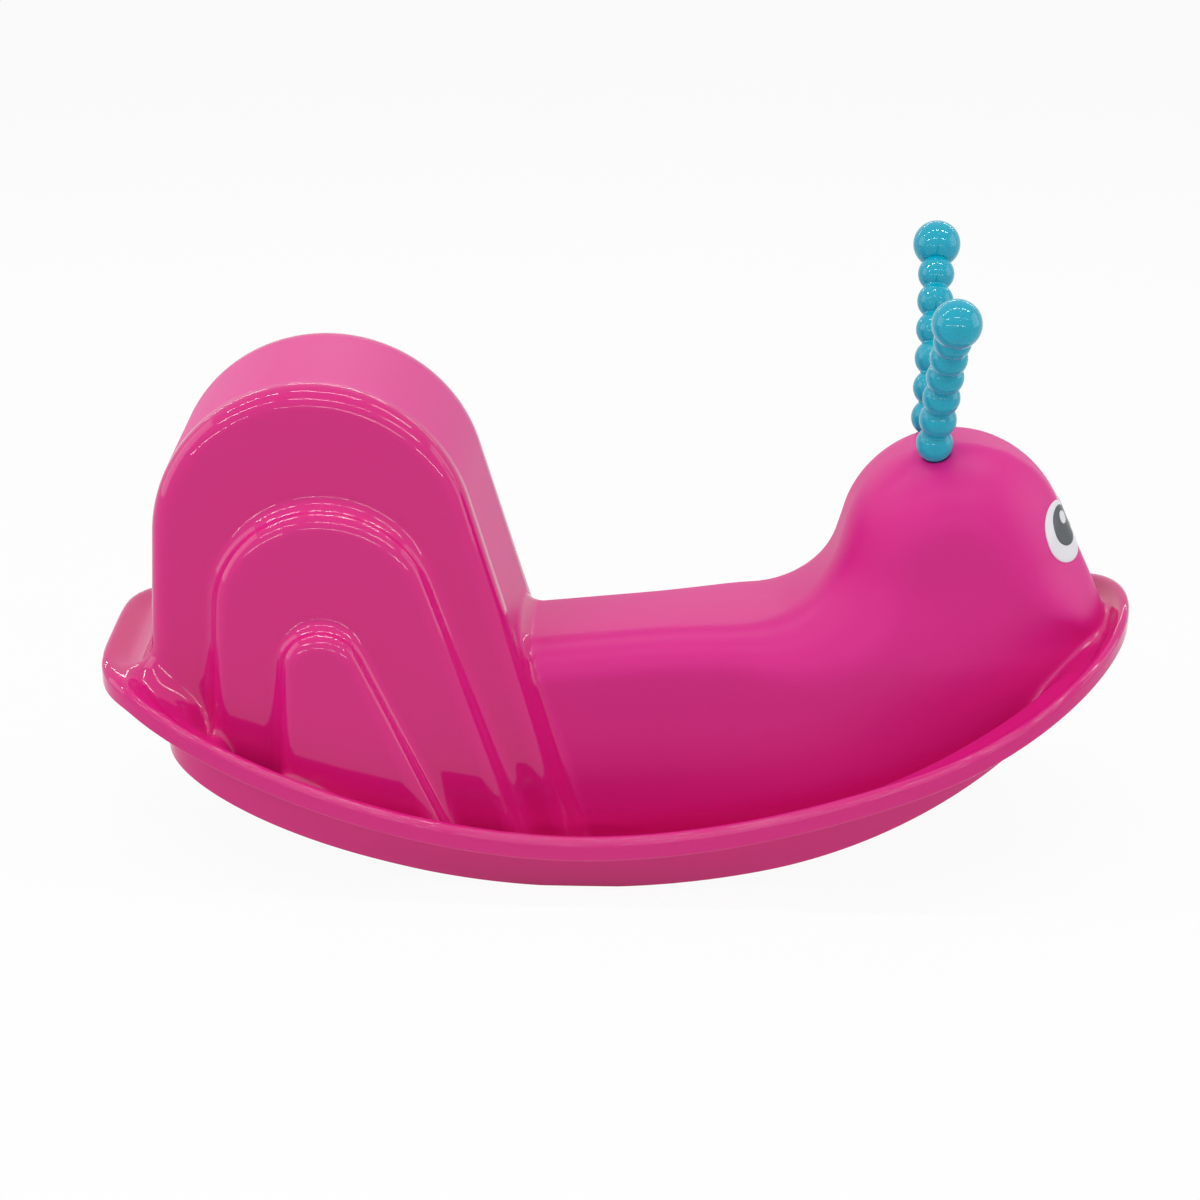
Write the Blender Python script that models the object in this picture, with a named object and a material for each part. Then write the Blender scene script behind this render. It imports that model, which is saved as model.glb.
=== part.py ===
import math

import bmesh
import bpy
from mathutils import Vector

# Snail rocker for one toddler. Metres, +X towards the head, +Z up, floor at z = 0.
# The tray, the shell, the seat and the head are one thin-walled moulding, open underneath.

# Moulding
WALL = 0.0035
FIT_GAP = 0.0003
DRAFT = math.radians(1.5)

# Rim of the tray, seen from above, and its turned-down lip
RIM_LENGTH = 0.970
RIM_WIDTH = 0.385
RIM_FRONT_REACH = 0.203
RIM_REAR_POWER = 4.45
RIM_FRONT_POWER = 2.02
LIP_LOW_Z = 0.0442
LIP_LOW_X = -0.033
LIP_REAR_ABOVE_KEEL = 0.0309
LIP_FRONT_ABOVE_KEEL = 0.0191
LIP_CURVE_POWER = 1.88
LIP_HEIGHT = 0.0215
CROWN_WIDTH = 0.018
SHELF_HEIGHT = 0.009

# The crown's section from the shelf out to the lip, as shares of its width and of the lip's height
CROWN_SECTION = ((1.0, 0.65), (0.75, 0.9), (0.47, 1.0), (0.2, 0.9), (0.05, 0.65))

# Foot troughs inside the rim
TROUGH_REAR_SHELF = 0.0545
TROUGH_SIDE_SHELF = 0.0295
TROUGH_FRONT_SHELF = 0.033
TROUGH_FRONT_REACH = 0.312
TROUGH_REAR_POWER = 4.6
TROUGH_FRONT_POWER = 2.0
TROUGH_WALL_DRAFT = 0.010
TROUGH_FRONT_SLOPE = 0.022
TROUGH_FILLET = 0.018

# The fillet at the trough's foot, as shares of its radius inwards, inwards at the front, and up
FILLET_SECTION = ((1.0, 1.9, 0.0), (0.35, 0.9, 0.25), (0.0, 0.0, 1.0))

# Rocker: the underside of the troughs is an arc in flats, with a longer one to stand on
ROCKER_RADIUS = 0.760
ROCKER_LOW_X = -0.030
ROCKER_STANDING_FLAT = 0.072
ROCKER_FLAT = 0.024

# Shell: three nested arches, each standing further out than the one above it
SHELL_HALF_WIDTH = 0.094
SHELL_STEP = 0.021
ARCH_REAR_SETBACK = 0.0055
ARCH_REAR_LEAN = math.radians(2.5)
ARCH_RADIUS = 0.147
ARCH_CENTRE_Z = 0.318
ARCH_FRONT_LEAN = math.radians(16.5)
ARCH_EDGE_RADIUS = 0.020
MID_ARCH_RADIUS = 0.116
MID_ARCH_CENTRE_Z = 0.254
MID_ARCH_FRONT_LEAN = math.radians(19.0)
MID_ARCH_BAND = 0.028
INNER_ARCH_RADIUS = 0.052
INNER_ARCH_CENTRE_Z = 0.208
INNER_ARCH_FRONT_LEAN = math.radians(25.0)
INNER_ARCH_BAND = 0.026
MID_ARCH_FORWARD = 0.008
INNER_ARCH_FORWARD = 0.010

# Seat, neck and head, one rounded ridge along the middle
SEAT_HEIGHT = 0.204
SEAT_SLOPE = 0.087
SEAT_CROWN = 0.004
SEAT_HALF_WIDTH = 0.076
SEAT_EDGE_RADIUS = 0.034
SEAT_FOOT_FLARE = 0.008
SHOULDER_SWELL = 0.022
SHOULDER_LENGTH = 0.230
SHOULDER_BEHIND_HEAD = 0.064
NECK_RADIUS = 0.075
HEAD_FRONT_SETBACK = 0.171
HEAD_LENGTH = 0.217
HEAD_HEIGHT = 0.108
HEAD_ABOVE_SEAT = 0.086
HEAD_HALF_WIDTH = 0.087
HEAD_ROUNDNESS = 2.5
HEAD_BLEND_LENGTH = 0.130
HEAD_BLEND_OVERLAP = 0.110
FACE_LEAN = math.radians(25.5)
FACE_TOP_ANGLE = math.radians(160.0)
NOSE_BELOW_RIM = 0.0097
NOSE_TIP = 0.003
NOSE_ROUNDNESS = 1.9

# Handles: two hollow bead stalks, each moulded in a front and a rear half
HANDLE_BACK_FROM_HEAD = 0.024
HANDLE_HALF_SPACING = 0.0367
HANDLE_ABOVE_HEAD = 0.0032
HANDLE_WALL = 0.0025
HANDLE_LEAN = math.radians(19.9)
HANDLE_LEAN_PER_BEAD = math.radians(4.9)
HANDLE_FORWARD_LEAN = math.radians(3.0)
BEAD_COUNT = 6
BEAD_PITCH = 0.0278
BEAD_RADIUS = 0.0172
BEAD_NECK_RADIUS = 0.0118
KNOB_RADIUS = 0.0226
KNOB_PITCH = 0.0320
STEM_RADIUS = 0.0075
STEM_CLEARANCE = 0.0004
CUP_CLEARANCE = 0.0005
BOSS_WALL = 0.0028
BOSS_DEPTH = 0.034
BOSS_FOOT_MARGIN = 0.0005
WASHER_RADIUS = 0.0130
WASHER_THICKNESS = 0.0020
SCREW_HEAD_RADIUS = 0.0048
SCREW_HEAD_HEIGHT = 0.0028
SCREW_RADIUS = 0.0021
SCREW_LENGTH = 0.0160
SCREW_BORE_RELIEF = 0.0015

# Eyes: thin round discs that follow the face
EYE_ABOVE_HEAD_CENTRE = 0.0225
EYE_BEHIND_HEAD_FRONT = 0.0155
EYE_SIDEWAYS = 0.0360
EYE_BEARING = math.radians(28.0)
EYE_TILT = math.radians(16.0)
EYE_GAP = 0.0006
EYE_RADIUS = 0.0295
EYE_THICKNESS = 0.0012
PUPIL_RADIUS = 0.0195
PUPIL_FORWARD = 0.0035
PUPIL_UP = 0.0050
PUPIL_THICKNESS = 0.0006
GLINT_RADIUS = 0.0062
GLINT_FORWARD = 0.0020
GLINT_UP = 0.0125

# Tools for cutting reach past the part
TOOL_FLOOR = -0.050
TOOL_TOP = 0.600
TOOL_MARGIN = 0.001

# Facet counts
RIM_SEGMENTS = 44
ARCH_SEGMENTS = 18
EDGE_SEGMENTS = 4
SEAT_ROWS = 9
CROWN_ROWS = 12
FACE_ROWS = 5
HEAD_SEGMENTS = 7
BEAD_RINGS = 6
HALF_BEAD_SEGMENTS = 7
CAVITY_RINGS = 3
HALF_CAVITY_SEGMENTS = 4
TURNED_SEGMENTS = 24
SCREW_SEGMENTS = 12
DISC_ROWS = 4
DISC_SEGMENTS = 24

# Places that follow from the sizes above
REAR_X = -RIM_LENGTH / 2
FRONT_X = RIM_LENGTH / 2
SHELL_REAR_X = REAR_X + TROUGH_REAR_SHELF
HEAD_X = FRONT_X - HEAD_FRONT_SETBACK
HEAD_RADIUS_X = HEAD_LENGTH / 2
HEAD_CENTRE_Z = SEAT_HEIGHT + HEAD_ABOVE_SEAT
SHOULDER_TO_X = HEAD_X - SHOULDER_BEHIND_HEAD
SHOULDER_FROM_X = SHOULDER_TO_X - SHOULDER_LENGTH


def clear_scene():
    for old in list(bpy.data.objects):
        bpy.data.objects.remove(old, do_unlink=True)


def make_material(name, colour, roughness, metallic=0.0):
    material = bpy.data.materials.new(name)
    material.use_nodes = True
    shader = material.node_tree.nodes["Principled BSDF"]
    shader.inputs["Base Color"].default_value = (*colour, 1.0)
    shader.inputs["Roughness"].default_value = roughness
    shader.inputs["Metallic"].default_value = metallic
    return material


def make_object(name, vertices, faces, material=None, smooth=True):
    mesh = bpy.data.meshes.new(name)
    mesh.from_pydata([tuple(v) for v in vertices], [], faces)
    tidy = bmesh.new()
    tidy.from_mesh(mesh)
    bmesh.ops.remove_doubles(tidy, verts=tidy.verts, dist=0.000001)
    bmesh.ops.recalc_face_normals(tidy, faces=tidy.faces)
    tidy.to_mesh(mesh)
    tidy.free()
    if smooth:
        mesh.shade_smooth()
        mesh.set_sharp_from_angle(angle=math.radians(35))
    made = bpy.data.objects.new(name, mesh)
    bpy.context.collection.objects.link(made)
    if material:
        mesh.materials.append(material)
    return made


def loft(name, rings, cap_pairs=None, material=None):
    """Skin between rings of equal length; cap_pairs closes the ends in strips."""
    size = len(rings[0])
    vertices = [point for ring in rings for point in ring]
    faces = []
    for row in range(len(rings) - 1):
        for i in range(size):
            j = (i + 1) % size
            faces.append((row * size + i, row * size + j, (row + 1) * size + j, (row + 1) * size + i))
    last = (len(rings) - 1) * size
    if cap_pairs:
        for pair in cap_pairs:
            faces.append(tuple(pair))
            faces.append(tuple(last + i for i in pair))
    else:
        faces.append(tuple(range(size)))
        faces.append(tuple(last + i for i in range(size)))
    return make_object(name, vertices, faces, material)


def make_tool(made):
    made.hide_render = True
    made.display_type = "WIRE"
    return made


def add_boolean(target, operation, tools):
    group = bpy.data.collections.new(target.name + "_" + operation.lower())
    for tool in tools:
        group.objects.link(make_tool(tool))
    cut = target.modifiers.new(operation.title(), "BOOLEAN")
    cut.operation = operation
    cut.operand_type = "COLLECTION"
    cut.collection = group
    cut.solver = "EXACT"


# Heights that many pieces share

def arc_z(x, raised=0.0):
    radius = ROCKER_RADIUS - raised
    return ROCKER_RADIUS - math.sqrt(radius ** 2 - (x - ROCKER_LOW_X) ** 2)


def lip_z(x):
    end_x, above_keel = (REAR_X, LIP_REAR_ABOVE_KEEL) if x < LIP_LOW_X else (FRONT_X, LIP_FRONT_ABOVE_KEEL)
    rise = arc_z(end_x) + above_keel - LIP_LOW_Z
    return LIP_LOW_Z + rise * ((x - LIP_LOW_X) / (end_x - LIP_LOW_X)) ** LIP_CURVE_POWER


def seat_z(x):
    return SEAT_HEIGHT + SEAT_SLOPE * x


def smooth_step(value):
    value = min(max(value, 0.0), 1.0)
    return value * value * (3.0 - 2.0 * value)


# Tray: rim, lip, troughs and the outer wall down to the rocker

def plan_ring(rear, front, half_width, widest, rear_power, front_power, height):
    """Superellipse seen from above, evenly spaced, as (x, y, height(x)) points."""
    fine = []
    steps = 1600
    for k in range(steps + 1):
        angle = math.pi * k / steps
        power = front_power if angle <= math.pi / 2 else rear_power
        reach = front - widest if angle <= math.pi / 2 else rear - widest
        x = widest + reach * abs(math.cos(angle)) ** (2.0 / power)
        y = half_width * abs(math.sin(angle)) ** (2.0 / power)
        fine.append((x, y))
    lengths = [0.0]
    for a, b in zip(fine, fine[1:]):
        lengths.append(lengths[-1] + math.dist(a, b))
    half = [(front, 0.0)]
    place = 0
    for k in range(1, RIM_SEGMENTS):
        goal = lengths[-1] * k / RIM_SEGMENTS
        while lengths[place + 1] < goal:
            place += 1
        share = (goal - lengths[place]) / (lengths[place + 1] - lengths[place])
        a, b = fine[place], fine[place + 1]
        half.append((a[0] + (b[0] - a[0]) * share, a[1] + (b[1] - a[1]) * share))
    half.append((rear, 0.0))
    mirrored = [(x, -y) for x, y in half[-2:0:-1]]
    return [(x, y, height(x)) for x, y in half + mirrored]


def rim_ring(inset, height):
    return plan_ring(REAR_X + inset, FRONT_X - inset, RIM_WIDTH / 2 - inset, FRONT_X - RIM_FRONT_REACH,
                     RIM_REAR_POWER, RIM_FRONT_POWER, lambda x: lip_z(x) + height)


def trough_ring(rear_inset, side_inset, front_inset, height):
    front = FRONT_X - TROUGH_FRONT_SHELF
    return plan_ring(SHELL_REAR_X + rear_inset, front - front_inset,
                     RIM_WIDTH / 2 - TROUGH_SIDE_SHELF - side_inset, front - TROUGH_FRONT_REACH,
                     TROUGH_REAR_POWER, TROUGH_FRONT_POWER, height)


def fillet_rings(deep):
    """The trough's floor edge, fillet, wall and shelf edge, moved outwards into the skin by deep."""
    rings = []
    for inward, inward_front, up in FILLET_SECTION:
        grown = deep if inward < 1.0 else 0.0
        rear = TROUGH_FILLET * inward - grown
        side = TROUGH_WALL_DRAFT + TROUGH_FILLET * inward - grown
        front = TROUGH_FRONT_SLOPE + TROUGH_FILLET * inward_front - grown
        lift = TROUGH_FILLET * up - deep * (1.0 - up)
        rings.append(trough_ring(rear, side, front, lambda x, lift=lift: arc_z(x, WALL) + lift))
    rings.append(trough_ring(-deep, -deep, -deep, lambda x: lip_z(x) + SHELF_HEIGHT - deep / 2))
    return rings


def strip_pairs():
    """Corner numbers of the strips that close a mirrored ring from side to side."""
    size = 2 * RIM_SEGMENTS
    pairs = [(0, 1, size - 1)]
    for i in range(1, RIM_SEGMENTS - 1):
        pairs.append((i, i + 1, size - i - 1, size - i))
    pairs.append((RIM_SEGMENTS - 1, RIM_SEGMENTS, RIM_SEGMENTS + 1))
    return pairs


def make_tray(material):
    rings = fillet_rings(0.0)
    for across, up in CROWN_SECTION:
        rings.append(rim_ring(CROWN_WIDTH * across, LIP_HEIGHT * up))
    rings.append(rim_ring(0.0, 0.0))
    edge_across, edge_up = CROWN_SECTION[-1]
    top_across, top_up = CROWN_SECTION[len(CROWN_SECTION) // 2]
    shelf_across, shelf_up = CROWN_SECTION[0]
    rings.append(rim_ring(WALL * 0.8, 0.0))
    rings.append(rim_ring(CROWN_WIDTH * edge_across + WALL, LIP_HEIGHT * edge_up - WALL * 0.3))
    rings.append(rim_ring(CROWN_WIDTH * top_across, LIP_HEIGHT * top_up - WALL))
    rings.append(rim_ring(CROWN_WIDTH * shelf_across, LIP_HEIGHT * shelf_up - WALL))
    rings.append(trough_ring(-WALL, -WALL, -WALL, lambda x: lip_z(x) + SHELF_HEIGHT - WALL))
    rings.append(trough_ring(-WALL, TROUGH_WALL_DRAFT - WALL, TROUGH_FRONT_SLOPE - 2.0 * WALL,
                             lambda x: arc_z(x) - 2.0 * WALL))
    return loft("body_shell", rings, strip_pairs(), material)


def make_rocker_trim():
    """Everything below the rocker arc, with the standing flat centred on the lowest line."""
    reach = RIM_LENGTH
    half_flat = ROCKER_STANDING_FLAT / 2
    low = arc_z(ROCKER_LOW_X + half_flat)
    ahead = []
    while half_flat + len(ahead) * ROCKER_FLAT < (RIM_LENGTH + RIM_WIDTH) / 2 - abs(ROCKER_LOW_X):
        step = half_flat + len(ahead) * ROCKER_FLAT
        ahead.append((step, arc_z(ROCKER_LOW_X + step) - low))
    profile = [(ROCKER_LOW_X - step, z) for step, z in ahead[::-1]]
    profile.extend((ROCKER_LOW_X + step, z) for step, z in ahead)
    profile.append((ROCKER_LOW_X + reach, ahead[-1][1] - TOOL_FLOOR))
    profile.append((ROCKER_LOW_X + reach, 2.0 * TOOL_FLOOR))
    profile.append((ROCKER_LOW_X - reach, 2.0 * TOOL_FLOOR))
    profile.append((ROCKER_LOW_X - reach, ahead[-1][1] - TOOL_FLOOR))
    rings = [[(x, y, z) for x, z in profile] for y in (-RIM_WIDTH, RIM_WIDTH)]
    return loft("rocker_trim", rings)


# Shell

class Arch:
    def __init__(self, centre_x, centre_z, radius, front_lean):
        self.centre_x = centre_x
        self.centre_z = centre_z
        self.radius = radius
        self.front_lean = front_lean

    def top(self):
        return self.centre_z + self.radius

    def profile(self, inset):
        """Side view: rear foot, over the arch, front foot, as (x, z) points."""
        radius = self.radius - inset
        start = math.pi - ARCH_REAR_LEAN
        end = self.front_lean
        curve = []
        for k in range(ARCH_SEGMENTS + 1):
            angle = start + (end - start) * k / ARCH_SEGMENTS
            curve.append((self.centre_x + radius * math.cos(angle), self.centre_z + radius * math.sin(angle)))
        rear_drop = curve[0][1] - TOOL_FLOOR
        front_drop = curve[-1][1] - TOOL_FLOOR
        rear = (curve[0][0] - math.tan(ARCH_REAR_LEAN) * rear_drop, TOOL_FLOOR)
        front = (curve[-1][0] + math.tan(self.front_lean) * front_drop, TOOL_FLOOR)
        return [rear] + curve + [front]

    def slab(self, name, edges):
        """Solid between the two sides; edges lists (inset, half width), outermost last."""
        rings = []
        for side in (-1, 1):
            ordered = edges[::-1] if side < 0 else edges
            for inset, half_width in ordered:
                points = self.profile(inset)
                rings.append([(x, side * (half_width + math.tan(DRAFT) * (self.top() - z)), z) for x, z in points])
        return loft(name, rings)


def round_edges(radius, half_width):
    edges = []
    for k in range(EDGE_SEGMENTS + 1):
        angle = math.pi / 2 * k / EDGE_SEGMENTS
        edges.append((radius * (1.0 - math.cos(angle)), half_width - radius + radius * math.sin(angle)))
    return edges


def band_edges(band, inner_width, step, wall):
    """The soft step from one arch out to the next, moved inwards by wall along its own normal."""
    edges = [(0.0, inner_width - WALL / 2 - wall)]
    for k in range(1, EDGE_SEGMENTS + 1):
        share = k / EDGE_SEGMENTS
        slope = step / band * 6.0 * share * (1.0 - share)
        normal = math.hypot(slope, 1.0)
        edges.append((band * share + wall * slope / normal,
                      inner_width + step * smooth_step(share) - wall / normal))
    return edges


def make_shell(name, wall):
    """The three arches as solids, their whole surface moved inwards by wall."""
    outer_x = SHELL_REAR_X + ARCH_REAR_SETBACK + ARCH_RADIUS
    outer = Arch(outer_x, ARCH_CENTRE_Z, ARCH_RADIUS, ARCH_FRONT_LEAN)
    middle = Arch(outer_x + MID_ARCH_FORWARD, MID_ARCH_CENTRE_Z, MID_ARCH_RADIUS, MID_ARCH_FRONT_LEAN)
    inner = Arch(outer_x + INNER_ARCH_FORWARD, INNER_ARCH_CENTRE_Z, INNER_ARCH_RADIUS, INNER_ARCH_FRONT_LEAN)
    middle_width = SHELL_HALF_WIDTH + math.tan(DRAFT) * (outer.top() - middle.top())
    inner_width = SHELL_HALF_WIDTH + SHELL_STEP + math.tan(DRAFT) * (outer.top() - inner.top())
    rounded = [(wall + inset, half_width)
               for inset, half_width in round_edges(ARCH_EDGE_RADIUS - wall, SHELL_HALF_WIDTH - wall)]
    return [
        outer.slab(name + "_outer", rounded),
        middle.slab(name + "_middle", band_edges(MID_ARCH_BAND, middle_width, SHELL_STEP, wall)),
        inner.slab(name + "_inner", band_edges(INNER_ARCH_BAND, inner_width, SHELL_STEP, wall)),
    ]


# Seat, neck and head

def crest_path():
    """Centre line of the ridge from the shell to the nose, as (x, z) points."""
    points = []
    start = SHELL_REAR_X + ARCH_RADIUS
    head_rear = HEAD_X - HEAD_RADIUS_X
    tilt = math.atan(SEAT_SLOPE)
    neck_x = head_rear - NECK_RADIUS
    neck_start = neck_x + NECK_RADIUS * math.sin(tilt)
    neck_z = seat_z(neck_start) + SEAT_CROWN + NECK_RADIUS * math.cos(tilt)
    for k in range(SEAT_ROWS):
        x = start + (neck_start - start) * k / SEAT_ROWS
        points.append((x, seat_z(x) + SEAT_CROWN))
    for degrees in (5, 22, 38, 52, 64, 74, 82):
        angle = math.radians(degrees)
        points.append((neck_x + NECK_RADIUS * math.sin(angle), neck_z - NECK_RADIUS * math.cos(angle)))
    first = math.radians(14)
    for k in range(CROWN_ROWS + 1):
        angle = first + (FACE_TOP_ANGLE - first) * k / CROWN_ROWS
        points.append((HEAD_X - HEAD_RADIUS_X * math.cos(angle), HEAD_CENTRE_Z + HEAD_HEIGHT * math.sin(angle)))
    face_x, face_z = points[-1]
    nose_z = lip_z(FRONT_X) + LIP_HEIGHT - NOSE_BELOW_RIM
    nose_x = face_x + (face_z - nose_z) * math.tan(FACE_LEAN)
    for k in range(1, FACE_ROWS + 1):
        share = k / FACE_ROWS
        points.append((face_x + (nose_x - face_x) * share, face_z + (nose_z - face_z) * share))
    return points


def close_front(x, from_x, end_x, power):
    """1 up to from_x, then down to 0 at end_x, round in plan."""
    share = min(max((x - from_x) / (end_x - from_x), 0.0), 1.0)
    return max(1.0 - share ** power, 0.0) ** (1.0 / power)


def ridge_section(x, crest, nose_x, wall, floor):
    """One cross-section of the ridge: right foot, over the top, left foot."""
    front = close_front(x, SHOULDER_TO_X, nose_x + NOSE_TIP, NOSE_ROUNDNESS)
    swell = SHOULDER_SWELL * smooth_step((x - SHOULDER_FROM_X) / SHOULDER_LENGTH)
    side = (SEAT_HALF_WIDTH + swell) * front
    foot = side + SEAT_FOOT_FLARE * front
    shoulder = min(seat_z(x), crest - SEAT_CROWN)
    edge = min(SEAT_EDGE_RADIUS, side * 0.9, shoulder * 0.8)
    blend = smooth_step((x - SHOULDER_TO_X + HEAD_BLEND_OVERLAP) / HEAD_BLEND_LENGTH)
    dome_base = side - edge * (1.0 - 0.35 * blend)
    dome = dome_base + (min(HEAD_HALF_WIDTH * front, side) - dome_base) * blend * 0.8
    power = 2.0 + (HEAD_ROUNDNESS - 2.0) * blend
    half = [(foot, floor), (side + SEAT_FOOT_FLARE * 0.35 * front, shoulder - edge - 0.06 * blend), (side, shoulder - edge)]
    for k in range(1, EDGE_SEGMENTS):
        angle = math.pi / 2 * k / EDGE_SEGMENTS
        y = side - edge + edge * math.cos(angle)
        half.append((max(y, dome), shoulder - edge + edge * math.sin(angle)))
    for k in range(HEAD_SEGMENTS + 1):
        angle = math.pi / 2 * k / HEAD_SEGMENTS
        y = dome * math.cos(angle) ** (2.0 / power)
        z = shoulder + (crest - shoulder) * math.sin(angle) ** (2.0 / power)
        half.append((y, z))
    inner = [(max(y - wall, 0.0008 * (len(half) - i)), z - wall if i > 1 else z) for i, (y, z) in enumerate(half)]
    inner[-1] = (0.0, inner[-1][1])
    left = [(x, y, z) for y, z in inner]
    right = [(x, -y, z) for y, z in inner[-2::-1]]
    return left + right


def make_ridge(name, wall):
    path = crest_path()
    nose_x = path[-1][0]
    rings = []
    for x, crest in path:
        if x <= nose_x - 2.5 * wall:
            rings.append(ridge_section(x, crest, nose_x, wall, TOOL_FLOOR))
    first = [(rings[0][0][0] - ARCH_RADIUS, y, z) for x, y, z in rings[0]]
    return loft(name, [first] + rings)


def make_tray_inside():
    """Everything above the middle of the tray's skin, so that what stands in the tray ends within its wall."""
    deep = WALL / 2
    shelf_across, shelf_up = CROWN_SECTION[0]
    rings = fillet_rings(deep)
    rings.append(rim_ring(CROWN_WIDTH * shelf_across, LIP_HEIGHT * shelf_up - deep))
    rings.append(rim_ring(CROWN_WIDTH * shelf_across, TOOL_TOP))
    return loft("tray_inside", rings, strip_pairs())


def make_core_limit():
    """Keeps the hollow inside the tray's own outer wall."""
    skin = WALL / 8
    front = TROUGH_FRONT_SLOPE - WALL
    rings = [
        trough_ring(skin, TROUGH_WALL_DRAFT + skin, front, lambda x: TOOL_FLOOR * 1.1),
        trough_ring(skin, TROUGH_WALL_DRAFT + skin, front, lambda x: arc_z(x, WALL)),
        trough_ring(skin, skin, skin, lambda x: lip_z(x) + LIP_HEIGHT * 0.1),
        trough_ring(-0.01, -0.01, -0.006, lambda x: lip_z(x) + 0.05),
        trough_ring(-0.01, -0.01, -0.006, lambda x: lip_z(x) + TOOL_TOP),
    ]
    return loft("core_limit", rings, strip_pairs())


# Handles

def handle_frame(side):
    """Base centre and the stalk's own directions: across, along its root, and towards the face."""
    base_z = HEAD_CENTRE_Z + HEAD_HEIGHT + HANDLE_ABOVE_HEAD
    base = Vector((HEAD_X - HANDLE_BACK_FROM_HEAD, side * HANDLE_HALF_SPACING, base_z))
    up = Vector((math.sin(HANDLE_FORWARD_LEAN), 0.0, math.cos(HANDLE_FORWARD_LEAN)))
    out = Vector((0.0, float(side), 0.0))
    face = Vector((math.cos(HANDLE_FORWARD_LEAN), 0.0, -math.sin(HANDLE_FORWARD_LEAN)))
    root = up * math.cos(HANDLE_LEAN) + out * math.sin(HANDLE_LEAN)
    return base, up, out, face, root


def stem_end_offset():
    return BOSS_DEPTH + FIT_GAP


def bead_path(side, wall, ring_count):
    """Centres, directions and radii along the beads and the knob, moved inwards by wall."""
    base, up, out, face, root = handle_frame(side)
    places = []
    centre = base
    neck_radius = BEAD_NECK_RADIUS - wall
    for bead in range(BEAD_COUNT + 1):
        last = bead == BEAD_COUNT
        radius = (KNOB_RADIUS if last else BEAD_RADIUS) - wall
        lean_in = HANDLE_LEAN + HANDLE_LEAN_PER_BEAD * max(bead - 1, 0)
        lean_out = HANDLE_LEAN + HANDLE_LEAN_PER_BEAD * min(bead, BEAD_COUNT - 1)
        start = math.asin(min(0.95, (neck_radius if bead else STEM_RADIUS) / radius)) - math.pi / 2
        end = math.pi / 2 if last else math.pi / 2 - math.asin(min(0.95, neck_radius / radius))
        rings = ring_count + 2 if last else ring_count
        for k in range(rings + 1):
            angle = start + (end - start) * k / rings
            lean = lean_in if angle < 0 else lean_out
            direction = up * math.cos(lean) + out * math.sin(lean)
            reach = radius * math.cos(angle)
            if last and k == rings:
                reach = 0.0
            places.append((centre + direction * radius * math.sin(angle), direction, reach))
        direction = up * math.cos(lean_out) + out * math.sin(lean_out)
        pitch = KNOB_PITCH if bead == BEAD_COUNT - 1 else BEAD_PITCH
        centre = centre + direction * pitch
    return places


def half_rings(places, facing, parting, segments):
    """Half circles on one side of the parting plane, which lies at the distance parting from the centres."""
    rings = []
    for centre, direction, radius in places:
        across = direction.cross(facing).normalized()
        reach = max(radius, TOOL_MARGIN)
        ring = []
        for k in range(segments + 1):
            angle = math.pi * k / segments
            ring.append(centre + facing * FIT_GAP / 2 + (across * math.cos(angle) + facing * math.sin(angle)) * reach)
        if parting < FIT_GAP / 2:
            ring.append(centre - across * reach + facing * parting)
            ring.append(centre + across * reach + facing * parting)
        rings.append(ring)
    return rings


def make_stalk_half(name, side, toward, material):
    """Half of a stalk on one side of its parting plane, hollow above its stem, with the screw's bore."""
    facing = handle_frame(side)[3] * toward
    root = handle_frame(side)[4]
    stem_top = math.sqrt(BEAD_RADIUS ** 2 - STEM_RADIUS ** 2) + CUP_CLEARANCE
    stem = [(handle_point(side, -along), root, STEM_RADIUS) for along in (stem_end_offset(), stem_top)]
    places = stem + bead_path(side, 0.0, BEAD_RINGS)
    half = loft(name, half_rings(places, facing, FIT_GAP / 2, HALF_BEAD_SEGMENTS), None, material)
    hollow = bead_path(side, HANDLE_WALL, CAVITY_RINGS)
    cavity = loft(name + "_cavity", half_rings(hollow, facing, -TOOL_MARGIN, HALF_CAVITY_SEGMENTS))
    bore_length = SCREW_LENGTH + SCREW_BORE_RELIEF
    bore = make_turned(name + "_bore", handle_point(side, -stem_end_offset() - TOOL_MARGIN), root,
                       [(0.0, SCREW_RADIUS + FIT_GAP), (bore_length, SCREW_RADIUS + FIT_GAP)], None, SCREW_SEGMENTS)
    add_boolean(half, "DIFFERENCE", [cavity, bore])
    return half


def handle_point(side, along):
    base, up, out, face, root = handle_frame(side)
    return base + root * along


def make_turned(name, start, axis, outline, material, segments):
    """Solid of revolution: outline lists (distance along axis, radius) from start."""
    axis = axis.normalized()
    helper = Vector((1.0, 0.0, 0.0))
    across = axis.cross(helper).normalized()
    other = axis.cross(across)
    rings = []
    for along, radius in outline:
        centre = start + axis * along
        rings.append([centre + (across * math.cos(2 * math.pi * k / segments)
                                + other * math.sin(2 * math.pi * k / segments)) * radius
                      for k in range(segments)])
    return loft(name, rings, None, material)


def make_washer(name, side, material):
    root = handle_frame(side)[4]
    top = -stem_end_offset() - FIT_GAP
    start = handle_point(side, top - WASHER_THICKNESS)
    washer = make_turned(name, start, root, [(0.0, WASHER_RADIUS), (WASHER_THICKNESS, WASHER_RADIUS)],
                         material, TURNED_SEGMENTS)
    hole_length = WASHER_THICKNESS + 2.0 * TOOL_MARGIN
    hole = make_turned(name + "_hole", start - root * TOOL_MARGIN, root,
                       [(0.0, SCREW_RADIUS + FIT_GAP), (hole_length, SCREW_RADIUS + FIT_GAP)], None, SCREW_SEGMENTS)
    add_boolean(washer, "DIFFERENCE", [hole])
    return washer


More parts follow.
